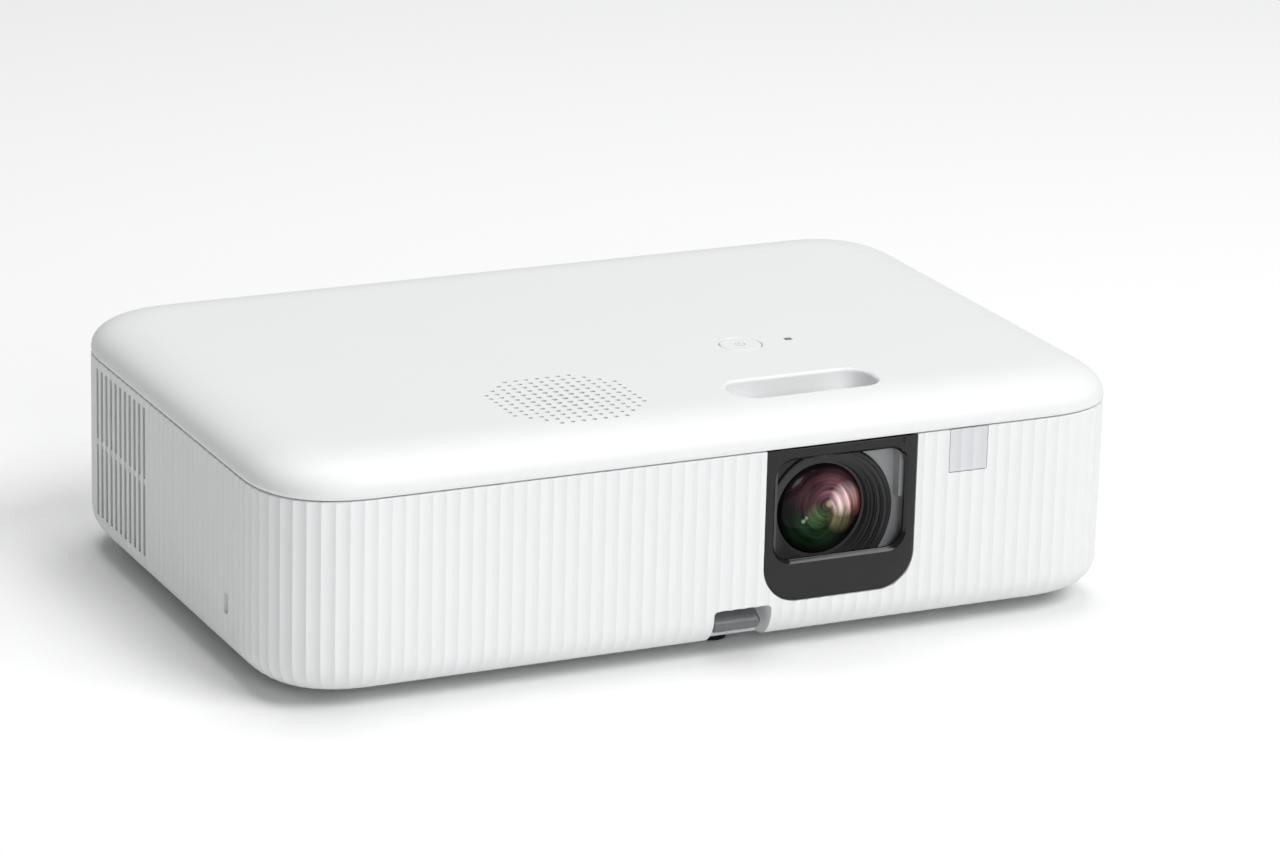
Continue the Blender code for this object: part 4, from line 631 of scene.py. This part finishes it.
def coated_glass():
    """Dark glass with painted reflections in its colour: rose over green in arcs round the axis, and a
    painted white-pink highlight on the right, all fading to black at the rim.
    """
    made, tree, shader = finish_of("coated_glass", (0.02, 0.02, 0.02), 0.13, specular=0.10)
    link = tree.links.new
    place = node(tree, "ShaderNodeTexCoord").outputs["Object"]
    about_axis = node(tree, "ShaderNodeMapping", Vector=place, Scale=(1 / GLASS_RADIUS,) * 3,
                      Location=(-LENS_X / GLASS_RADIUS, 0, -LENS_Z / GLASS_RADIUS))
    split = node(tree, "ShaderNodeSeparateXYZ", Vector=about_axis.outputs["Vector"])

    def calc(kind, a, b=0.0):
        """A sum on numbers or on other nodes' outputs."""
        step = node(tree, "ShaderNodeMath", operation=kind)
        for socket, value in zip(step.inputs, (a, b)):
            if isinstance(value, (int, float)):
                socket.default_value = value
            else:
                link(value, socket)
        return step.outputs["Value"]

    across = split.outputs["X"]
    up = split.outputs["Z"]

    def distance(at_x, at_z):
        dx = calc("SUBTRACT", across, at_x)
        dz = calc("SUBTRACT", up, at_z)
        return calc("SQRT", calc("ADD", calc("MULTIPLY", dx, dx), calc("MULTIPLY", dz, dz)))

    def glow(at_x, at_z, size, sharpness):
        """A soft spot that shapes the painted reflections and their fall to black at the rim: 1 - (distance
        / size)^2 kept above 0, raised to a power.
        """
        far = calc("DIVIDE", distance(at_x, at_z), size)
        kept = calc("MAXIMUM", calc("SUBTRACT", 1.0, calc("MULTIPLY", far, far)), 0.0)
        return calc("POWER", kept, sharpness)

    def arcs(at_x, at_z, fineness, seed):
        """Streaks of painted reflection that follow circles about a point: noise stretched along the turn.
        """
        radius = distance(at_x, at_z)
        sideways, upward = (calc("DIVIDE", calc("MULTIPLY", way, 0.45), calc("ADD", radius, 0.25))
                            for way in (across, up))
        place = node(tree, "ShaderNodeCombineXYZ", X=calc("MULTIPLY", radius, fineness), Y=sideways,
                     Z=calc("ADD", upward, seed)).outputs["Vector"]
        streak = noise(tree, place, 1.6, 5.0, 0.62)
        return calc("MAXIMUM", calc("MULTIPLY", calc("SUBTRACT", streak, 0.30), 3.2), 0.0)

    broad = arcs(-0.25, -0.10, 5.0, 3.7)
    narrow = arcs(0.10, 0.12, 9.0, 8.2)
    rim = glow(0.0, 0.0, 1.03, 0.55)
    # each layer of painted reflection: a soft spot (across, up, size, sharpness), its colour and the
    # streaks in it; the first is a painted white-pink highlight
    painted_reflection_layers = (
        ((0.52, 0.20, 0.42, 1.3), (1.35, 1.02, 1.0), broad),
        ((0.34, 0.52, 0.60, 1.5), (0.30, 0.12, 0.15), narrow),
        ((-0.30, 0.50, 0.75, 1.6), (0.10, 0.038, 0.05), narrow),
        ((0.80, 0.12, 0.40, 1.2), (0.50, 0.15, 0.14), broad),
        ((0.46, -0.20, 0.40, 1.3), (0.26, 0.23, 0.11), broad),
        ((-0.12, -0.10, 0.34, 1.4), (0.07, 0.14, 0.04), narrow),
        ((-0.42, -0.46, 0.60, 1.3), (0.014, 0.055, 0.014), narrow),
        ((0.15, -0.72, 0.50, 1.5), (0.02, 0.05, 0.02), broad),
        ((0.13, 0.15, 0.10, 1.2), (0.30, 0.30, 0.14), None),
        ((-0.465, -0.19, 0.055, 0.8), (0.24, 0.55, 0.28), None),
        ((-0.40, -0.12, 0.05, 1.0), (0.34, 0.22, 0.24), None))
    total = node(tree, "ShaderNodeCombineXYZ", X=0.004, Y=0.004, Z=0.005).outputs["Vector"]
    for spot, colour, streaks in painted_reflection_layers:
        strength = calc("MULTIPLY", glow(*spot), rim)
        if streaks:
            strength = calc("MULTIPLY", strength, streaks)
        tint = node(tree, "ShaderNodeVectorMath", operation="SCALE", Vector=colour, Scale=strength)
        both = node(tree, "ShaderNodeVectorMath", operation="ADD")
        link(total, both.inputs[0])
        link(tint.outputs["Vector"], both.inputs[1])
        total = both.outputs["Vector"]
    link(total, shader.inputs["Base Color"])
    return made


# Painted reflections and a painted highlight make up the colour of the front and rear glass.
reflection_painted_glass = coated_glass()
dress(glass, reflection_painted_glass, "lens_group", "coated_glass", "front_lens")
recoat(reflection_painted_glass, "coated_glass", "rear_lens")
recoat(black_plastic, "black_plastic", "lens_barrel")

ring_low, ring_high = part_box("focus_ring")
RING_RADIUS = (ring_high.x - ring_low.x) / 2
FLANGE_WIDTH = 0.006         # of the barrel's rear flange
RING_INNER = (barrel_high.x - barrel_low.x) / 2 - FLANGE_WIDTH + GAP
RIBS = 120
RIB_DEPTH = 0.0005
angle = np.arange(RIBS * 4) / (RIBS * 4) * 2 * np.pi
rib = np.tile([0, 0, 1, 1], RIBS)
shoulder = ((0, 0.0012), (0.0005, 0.0003), (0.0009, 0))      # (in from the face, in from the radius)
ring_profile = [
    (ring_low.y, RING_INNER), *[(ring_low.y + d, RING_RADIUS - r) for d, r in shoulder],
    *[(ring_high.y - d, RING_RADIUS - r) for d, r in shoulder[::-1]], (ring_high.y, RING_INNER)]
ring_rows = []
for depth, outer in ring_profile:
    radius = outer - (RIB_DEPTH if outer > RING_RADIUS - 0.0005 else 0) * rib
    ring_rows.append(np.column_stack([
        LENS_X + radius * np.cos(angle), np.full(len(angle), depth), LENS_Z + radius * np.sin(angle)]))
ring = loft("ribbed_focus_ring", ring_rows, 30, ring=True)
ring_plastic = moulded("focus_ring_plastic", (0.045, 0.045, 0.05), 0.55, grain=1500, drift=0.08)
dress(ring, ring_plastic, "focus_ring_body", "focus_ring_plastic", "focus_ring")

# -------- shutter, lens frame and rail
# A thin dark sheet slides across the window; a stem carries its ribbed knob up into the finger
# recess. Behind it stands the frame round the hood: a pale crescent on the right, its left half black as
# painted shade.
blade_low, blade_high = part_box("shutter_blade")
frame_low, frame_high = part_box("lens_frame")
FRAME_FRONT = frame_high.y - 0.002
HOLE_RADIUS = HOOD_RADIUS + 0.0004
half_turn = np.radians(np.linspace(-90, 90, 49))


def half_frame(name, side, edge):
    """Half the frame plate, from its hole (a half circle) out to the plate's rectangle, as one outline."""
    hole = np.column_stack([
        LENS_X + side * HOLE_RADIUS * np.cos(half_turn), LENS_Z + HOLE_RADIUS * np.sin(half_turn)])
    low = frame_low.z
    high = frame_high.z
    outline = np.concatenate([hole, [(LENS_X, high), (edge, high), (edge, low), (LENS_X, low)]])
    return loft(name, along(outline, ((FRAME_FRONT, 0), (frame_high.y, 0)), "front"), 30)


crescent = half_frame("pale_crescent", 1, frame_high.x)
BLADE_TRAVEL = 0.0460
stop_low = blade_high.x + BLADE_TRAVEL + GAP
carve(crescent, blocks(
    "stop_rib", (stop_low, blade_low.y, LENS_Z + 0.005),
    (stop_low + 0.0025, FRAME_FRONT + 0.001, frame_high.z - 0.001)), how="UNION")
crescent_plastic = moulded("crescent_plastic", (0.33, 0.34, 0.35), 0.40, drift=0.03)
dress(crescent, crescent_plastic, "case", "pale_grey_plastic", "lens_frame")
# The frame's left half is black plastic: painted shade for the shadow over that side.
shade = half_frame("frame_half_in_painted_shade", -1, frame_low.x)
dress(shade, black_plastic, "case", "black_plastic")
shutter_plastic = moulded("shutter_plastic", (0.055, 0.055, 0.058), 0.42, grain=1500, drift=0.06)
recoat(shutter_plastic, "shutter_plastic", "shutter_blade")
recoat(black_plastic, "black_plastic", "shutter_rail")

# -------- lens surround
# A polished black plate flush in the front, its face falling away slightly to its sides and its
# well rounded lower corners, with a window whose chamfered edge catches the light. It drops in
# from above before the cover goes on.
BEZEL_EDGE = 0.0004
bezel_outline = rounded(bezel_low.x, bezel_high.x, bezel_low.z, bezel_high.z,
                        (BEZEL_CORNER, BEZEL_CORNER, 0.0006, 0.0006), 14)
bezel = prism("lens_surround", bezel_outline, bezel_low.y, bezel_high.y, "front", BEZEL_EDGE, 24)
FALL_REACH = 0.0100          # how far in from its edge the face starts to fall away
FALL_DEPTH = 0.0009
FALL_SPARE = 0.0005          # keeps the cutting surface clear of the plate's edge
fall_steps = [(bezel_low.y - FALL_SPARE / 5 + FALL_DEPTH * t ** 2, FALL_REACH * (t - 1) + FALL_SPARE)
              for t in np.linspace(0, 1, 9)]
fall_outline = rounded(bezel_low.x, bezel_high.x, bezel_low.z, bezel_high.z + 0.030,
                       (BEZEL_CORNER,) * 4, 14)
carve(bezel, loft("fall", along(fall_outline, (*fall_steps, (bezel_high.y + WALL, FALL_SPARE)), "front")),
      24, "INTERSECT")
WINDOW_LEFT = bezel_low.x + 0.0036
WINDOW_RIGHT = bezel_high.x - 0.0038
WINDOW_BOTTOM = LENS_Z - 0.0122
WINDOW_TOP = LENS_Z + HOOD_RADIUS - 0.0005
WINDOW_CORNER = 0.0065
window = rounded(WINDOW_LEFT, WINDOW_RIGHT, WINDOW_BOTTOM, WINDOW_TOP, (WINDOW_CORNER,) * 4, 12)
carve(bezel, loft("window", along(window, (
    (FRONT - 0.0004, 0.0017), (FRONT + 0.0001, 0.0010), (FRONT + 0.0012, 0.0002), (FRONT + 0.0014, 0),
    (FRONT + 0.006, 0)), "front")), 24)
gloss_black = moulded("gloss_black", (0.009, 0.009, 0.010), 0.14, grain=900, bump=0.000004, drift=0.1,
                      specular=0.36)
dress(bezel, gloss_black, "case", "gloss_black", "lens_bezel")

# -------- receiver window
# A smoky translucent moulding in the front wall over the infrared receiver. The wall's flutes
# run on across it, and a hairline gap is left round it.


def fluted_panel(name, left, right, low, high, back, side):
    """A thin plate in a wall, its face following the wall's flutes between two places along that wall.

    side is front or right; the face is the wall's plane moved in by the scallop depth.
    """
    across = np.linspace(left, right, 1 + round((right - left) / FLUTE_PITCH * FLUTE_STEPS * 1.5))
    walk = across if side == "front" else [walk_to(1, y) for y in across]
    depth = flute_depth(np.interp(walk, FLUTE_WALKS, FLUTE_NUMBERS))
    face = FRONT + depth if side == "front" else RIGHT - depth
    outline = np.concatenate([
        np.column_stack([across, face]), np.column_stack([across[::-1], np.full(len(across), back)])])
    if side == "right":
        outline = outline[:, ::-1]
    return loft(name, along(outline, ((low, 0), (high, 0)), "up"), 22)


receiver = fluted_panel("receiver_cap", receiver_low.x, receiver_high.x, receiver_low.z, receiver_high.z,
                        receiver_high.y, "front")
carve(receiver, prism("receiver_shape", rounded(
    receiver_low.x, receiver_high.x, receiver_low.z, receiver_high.z + 0.002,
    (0.0006, 0.0006, 0.0001, 0.0001)), FRONT - 0.001, FRONT + 0.004, "front"), 22, "INTERSECT")
receiver_plastic = moulded("receiver_plastic", (0.66, 0.67, 0.69), 0.30, drift=0.01)
dress(receiver, receiver_plastic, "case", "receiver_plastic", "receiver_window")

# -------- air-filter cover
# A slotted panel flush in the right wall, its face fluted like the wall, held by a snap at one
# end; a dark pleated pad stands behind it.
filter_cover = fluted_panel("filter_door", filter_low.y, filter_high.y, filter_low.z, filter_high.z,
                            filter_low.x, "right")
FILTER_BORDER = 0.003
slot_rows = ((filter_low.z + FILTER_BORDER, FILTER_Z - VENT_RIB / 2),
             (FILTER_Z + VENT_RIB / 2, filter_high.z - FILTER_BORDER))
carve(filter_cover, slots("filter_slots", filter_low.x - 0.002, filter_high.x + 0.002, FILTER_Y,
                          FILTER_SLOTS, slot_rows), 22)
dress(filter_cover, white_plastic, "filter_cover_body", "white_case", "filter_cover")
pad_low, pad_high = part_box("filter_pad")
PLEATS = 48
PLEAT_DEPTH = 0.0022
PAD_THICKNESS = 0.0036
fold_y = np.linspace(pad_low.y, pad_high.y, 2 * PLEATS + 1)
fold_x = np.where(np.arange(2 * PLEATS + 1) % 2 == 0, pad_high.x - PLEAT_DEPTH, pad_high.x)
pad_outline = np.concatenate([
    np.column_stack([fold_x, fold_y]), np.column_stack([fold_x[::-1] - PAD_THICKNESS, fold_y[::-1]])])
pad = loft("pleated_filter", along(pad_outline, ((pad_low.z, 0), (pad_high.z, 0)), "up"), 30)
filter_cloth = moulded("filter_cloth", (0.05, 0.05, 0.055), 0.95, grain=1200, bump=0.0002, drift=0.2)
dress(pad, filter_cloth, "case", "filter_foam", "filter_pad")

# -------- cover
# The upper half of the case: one smooth white moulding, flat on top and falling to the seam in
# one soft crown. A finger recess, the button's hole and the speaker's perforations are in it.
CROWN_REACH = 0.025
CROWN_POWER = 2.36
CROWN_ROWS = 30
COVER_RIM = cover_low.z
TOP = cover_high.z


def crown_rows(inset, rim, top, count):
    """(inset, height) of the crown: reach (1 - cos^(2/p)) in and rise sin^(2/p) up, for a quarter turn."""
    turn = np.linspace(0, np.pi / 2, count)
    inward = CROWN_REACH * (1 - np.clip(np.cos(turn), 0, 1) ** (2 / CROWN_POWER))
    return inset + inward, rim + (top - rim) * np.sin(turn) ** (2 / CROWN_POWER)


crown_in, crown_up = crown_rows(0, COVER_RIM, TOP, CROWN_ROWS)
cover = loft("crowned_cover", plain_loops(
    [RIM_EDGE, *crown_in[1:], CROWN_REACH + 0.002], [COVER_RIM, *crown_up[1:], TOP], 420), 9)
inner_in, inner_up = crown_rows(WALL, COVER_RIM, TOP - WALL, 9)
cover_hollow = loft("cover_hollow", plain_loops(
    [WALL, *inner_in, CROWN_REACH + WALL + 0.002], [COVER_RIM - WALL, *inner_up, TOP - WALL], 160))
RECESS_X = LENS_X - 0.0001
RECESS_Y = FRONT + 0.0311
RECESS_SINK = 0.010
RECESS_FLOOR = TOP - RECESS_SINK
RECESS_HALF_LENGTH = 0.0260
RECESS_HALF_WIDTH = 0.0089
RECESS_WALL = 0.0018
recess = centred(RECESS_X, RECESS_Y, RECESS_HALF_LENGTH, RECESS_HALF_WIDTH, 0.0067, 14)
carve(cover_hollow, loft("basin", along(
    recess, ((RECESS_FLOOR - RECESS_WALL, 0.0025), (TOP + WALL, 0.0045)), "up")))
carve(cover, cover_hollow, 9)
ROLL = 0.0014                # rounding of the recess's rim
FLOOR_ROLL = 0.0022          # and where its wall meets its floor
turn = np.radians(np.linspace(12, 90, 10))
rim_steps = [(TOP - ROLL * (1 - math.cos(t)), 0.0012 + ROLL * (1 - math.sin(t))) for t in turn]
turn = np.radians(np.linspace(0, 90, 11))
foot_steps = [(RECESS_FLOOR + FLOOR_ROLL * (1 - math.sin(t)), FLOOR_ROLL * (math.cos(t) - 1)) for t in turn]
carve(cover, loft("recess", along(recess, (
    (TOP + 0.003, rim_steps[0][1]), *rim_steps, *foot_steps), "up"), 9), 9)
RING_CLEARANCE = 0.0004
KNOB_SLOT_FRONT = FRONT + 0.0267
KNOB_SLOT_BACK = FRONT + 0.0297
KNOB_SPARE = 0.0005
STEM_WIDTH = 0.0018
ring_chord = math.sqrt(RING_RADIUS ** 2 - (RECESS_FLOOR - 0.002 - LENS_Z) ** 2) + 0.0012
slot_low = RECESS_FLOOR - 0.006
slot_high = RECESS_FLOOR + RING_CLEARANCE
carve(cover, blocks("recess_slots", [
    (LENS_X - ring_chord, ring_low.y - RING_CLEARANCE, slot_low),
    (blade_high.x - STEM_WIDTH - KNOB_SPARE, KNOB_SLOT_FRONT, slot_low)], [
    (LENS_X + ring_chord, ring_high.y + RING_CLEARANCE, slot_high),
    (blade_high.x + BLADE_TRAVEL + KNOB_SPARE, KNOB_SLOT_BACK, slot_high)]), 9)

button_low, button_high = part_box("power_button")
BUTTON_X, BUTTON_Y = middle_of(button_low, button_high)[:2]
BUTTON_RADIUS = 0.0075
light_low, light_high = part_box("status_light")
hole = BUTTON_RADIUS + GAP
button_place = (BUTTON_X, BUTTON_Y, 0)
carve(cover, turned("button_hole", (
    (hole, TOP - 0.006), (hole, TOP - 0.0002), (hole + 0.0002, TOP), (hole + 0.0006, TOP + 0.001)),
    button_place, "up", 96), 9)
carve(cover, blocks(
    "light_hole", (light_low.x - GAP, light_low.y - GAP, TOP - 0.006),
    (light_high.x + GAP, light_high.y + GAP, TOP + 0.001)), 9)

SPEAKER_X, SPEAKER_Y = middle_of(*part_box("speaker"))[:2]
HOLE_PITCH = 0.0040
HOLE_REACH = 6               # holes each way from the middle one
HOLE_DIAGONAL = 9            # and how far out the corners are cut off
HOLE_SIDES = 16
HOLE_WIDEST = 0.00115
HOLE_NARROWING = 0.00030


def perforations(low, high):
    """Round pegs for the speaker holes, each a prism with HOLE_SIDES sides.

    They stand in a square grid with cut corners, wider in its middle.
    """
    row, column = np.mgrid[-HOLE_REACH:HOLE_REACH + 1, -HOLE_REACH:HOLE_REACH + 1]
    inside = np.abs(row) + np.abs(column) <= HOLE_DIAGONAL
    places = np.column_stack([column[inside], row[inside]]) * HOLE_PITCH + [SPEAKER_X, SPEAKER_Y]
    radius = HOLE_WIDEST - HOLE_NARROWING * np.minimum(np.hypot(row, column)[inside] / HOLE_REACH, 1)
    angle = np.arange(HOLE_SIDES) / HOLE_SIDES * 2 * np.pi
    flat = places[:, None] + radius[:, None, None] * np.column_stack([np.cos(angle), np.sin(angle)])
    count = len(places)
    points = np.concatenate([np.concatenate([flat, np.full((count, HOLE_SIDES, 1), z)], axis=2)
                             for z in (low, high)], axis=1)
    around = np.arange(HOLE_SIDES)
    ahead = np.roll(around, -1)
    sides = np.column_stack([around, ahead, ahead + HOLE_SIDES, around + HOLE_SIDES])
    faces = []
    for start in range(0, count * 2 * HOLE_SIDES, 2 * HOLE_SIDES):
        faces += (sides + start).tolist()
        faces += [(around[::-1] + start).tolist(), (around + HOLE_SIDES + start).tolist()]
    return piece("perforations", points, faces)


carve(cover, perforations(TOP - 0.006, TOP + 0.001), 9)
dress(cover, white_plastic, "case", "white_case", "top_cover")

# -------- power button, status light and speaker
# A round button level with the top, a fine groove round it, with a thin grey ring-and-bar mark;
# a small square light pipe beside it; the loudspeaker's cone under the perforations.
STEM_RADIUS = 0.003
flange = BUTTON_RADIUS + 0.0011
flange_low = button_low.z + 0.0034
flange_high = button_low.z + 0.0047
cap_profile = [
    (0.0004, button_low.z), (STEM_RADIUS, button_low.z), (STEM_RADIUS, flange_low), (flange, flange_low),
    (flange, flange_high), (BUTTON_RADIUS, flange_high), (BUTTON_RADIUS, TOP - 0.0003),
    (BUTTON_RADIUS - 0.0001, TOP - 0.0001), (BUTTON_RADIUS - 0.0003, TOP), (0.001, TOP - 0.00002)]
button = turned("button_cap", cap_profile, button_place, "up", 96, 24)
dress(button, white_plastic, "power_button_body", "white_button", "power_button")
MARK_RADIUS = 0.0017
MARK_LINE = 0.00022
MARK_LOW = TOP - 0.0001
MARK_HIGH = TOP + 0.00002
arc = np.radians(np.linspace(125, 415, 60))
circle = np.column_stack([np.cos(arc), np.sin(arc)])
mark_outline = [BUTTON_X, BUTTON_Y] + np.concatenate([
    (MARK_RADIUS + MARK_LINE / 2) * circle, (MARK_RADIUS - MARK_LINE / 2) * circle[::-1]])
mark = prism("power_mark_ring", mark_outline, MARK_LOW, MARK_HIGH, "up")
mark_grey = moulded("mark_grey", (0.30, 0.31, 0.32), 0.5, drift=0.02)
dress(mark, mark_grey, "power_button_body", "pale_grey_plastic")
bar_outline = rounded(BUTTON_X - MARK_LINE / 2, BUTTON_X + MARK_LINE / 2, BUTTON_Y + 0.0004,
                      BUTTON_Y + 0.0021, (0.0001,) * 4, 3)
bar_mark = prism("power_mark_bar", bar_outline, MARK_LOW, MARK_HIGH, "up")
dress(bar_mark, mark_grey, "power_button_body", "pale_grey_plastic")
light_pipe = moulded("light_pipe", (0.26, 0.26, 0.255), 0.15, drift=0.02, coat=0.6)
recoat(light_pipe, "light_pipe", "status_light")
speaker_black = moulded("speaker_black", (0.015, 0.015, 0.016), 0.8, drift=0.1)
recoat(speaker_black, "speaker_black", "speaker")

# -------- rear panel and sockets
# A dark recessed panel at the back with the mains inlet at one end, then the video, data and
# service sockets in pressed steel shells, soldered to the main board.
recoat(black_plastic, "black_plastic", "rear_panel", "power_inlet")
steel, tree, shader = finish_of("plated_steel", (0.56, 0.57, 0.58), 0.32, metallic=1.0)
place = node(tree, "ShaderNodeTexCoord").outputs["Object"]
stretched = node(tree, "ShaderNodeMapping", Vector=place, Scale=(0.15, 1, 1)).outputs["Vector"]
vary_gloss(tree, shader, noise(tree, stretched, 900.0, 2.0), 0.22, 0.42)
recoat(steel, "steel", "hdmi_socket", "usb_socket", "service_socket", "lever_pin", "lamp_ballast",
       "case_screw_1", "case_screw_2", "case_screw_3", "case_screw_4")

# -------- what is inside
# Boards, lamp, prism and panels, engine housing, fans and blower, all held under the cover. They
# are moulded or pressed parts whose frame shapes are kept, each with its own finish.
board_green = moulded("board_green", (0.02, 0.12, 0.06), 0.4, grain=300, drift=0.15, coat=0.4)
recoat(board_green, "board_green", "main_board", "power_supply_board", "receiver_board", "button_board")
engine_grey = moulded("engine_casting", (0.19, 0.19, 0.20), 0.6, grain=1200, bump=0.00006, drift=0.06)
recoat(engine_grey, "engine_casting", "optical_engine")
recoat(black_plastic, "black_plastic", "exhaust_fan_frame", "exhaust_fan_rotor", "intake_fan_frame",
       "intake_fan_rotor", "lamp_blower_housing", "lamp_blower_rotor", "lamp_housing", "foot_sleeve")
recoat(white_plastic, "white_case", "lamp_cover")
mirror = moulded("reflector_mirror", (0.82, 0.83, 0.85), 0.06, bump=0.000002, drift=0.04, metallic=1.0)
recoat(mirror, "polished_reflector", "lamp_reflector")
clear = moulded("clear_glass", (0.85, 0.9, 0.92), 0.02, bump=0.000001, drift=0.03)
clear.node_tree.nodes["Principled BSDF"].inputs["Transmission Weight"].default_value = 0.9
recoat(clear, "prism_glass", "colour_prism")
recoat(clear, "lamp_glass", "lamp_burner")
display = moulded("display_panel", (0.05, 0.05, 0.06), 0.25, drift=0.05)
recoat(display, "lcd_panel", "red_panel", "green_panel", "blue_panel")

# -------- stage, light and camera
# A plain pale floor, a large soft key light from the front right, a weak low one from the front
# left that rakes the flutes, one from above, and an even pale surround.
FLOOR_HALF = 4.0
floor_points = [(x * FLOOR_HALF, y * FLOOR_HALF, cad_low.z - 0.0001)
                for x, y in ((-1, -1), (1, -1), (1, 1), (-1, 1))]
stage = piece("studio_floor", floor_points, [(0, 1, 2, 3)])
floor_paint = finish_of("floor_paint", (0.93, 0.93, 0.93), 0.9, specular=0.1)[0]
stage.data.materials.append(floor_paint)

scene = bpy.context.scene
world = bpy.data.worlds.new("surround")
scene.world = world
world.use_nodes = True
background = world.node_tree.nodes["Background"].inputs
background["Color"].default_value = (0.98, 0.99, 1.0, 1)
background["Strength"].default_value = 0.19
scene.view_settings.view_transform = "Standard"


def softbox(name, place, size, power):
    """A square area light at a place, turned to face the middle of the projector."""
    light = bpy.data.lights.new(name, "AREA")
    light.size = size
    light.energy = power
    made = bpy.data.objects.new(name, light)
    made.location = place
    made.rotation_euler = (made.location - (cad_low + cad_high) / 2).to_track_quat("Z", "Y").to_euler()
    scene.collection.objects.link(made)


softbox("key_light", (1.1, -1.8, 2.5), 1.8, 60)
softbox("raking_light", (-0.35, -2.4, 1.0), 0.7, 12)
softbox("top_light", (0.15, 0.5, 2.6), 1.6, 36)

CAMERA_PLACE = (-0.72784, -1.563315, 0.603248)
CAMERA_TURNS = (25.526, 17.693, 1.525)       # yaw, pitch and roll in degrees
CAMERA_LENS = 143.245
camera_data = bpy.data.cameras.new("camera")
camera_data.lens = CAMERA_LENS
camera_data.sensor_width = 36
camera_data.clip_start = 0.05
camera = bpy.data.objects.new("camera", camera_data)
yaw, pitch, roll = np.radians(CAMERA_TURNS)
ahead = np.array([math.sin(yaw) * math.cos(pitch), math.cos(yaw) * math.cos(pitch), -math.sin(pitch)])
level = np.array([math.cos(yaw), -math.sin(yaw), 0])
right = math.cos(roll) * level + math.sin(roll) * np.cross(level, ahead)
upward = np.cross(right, ahead)
placing = np.eye(4)
placing[:3] = np.column_stack([right, upward, -ahead, CAMERA_PLACE])
camera.matrix_world = Matrix(placing.tolist())
scene.collection.objects.link(camera)
scene.camera = camera
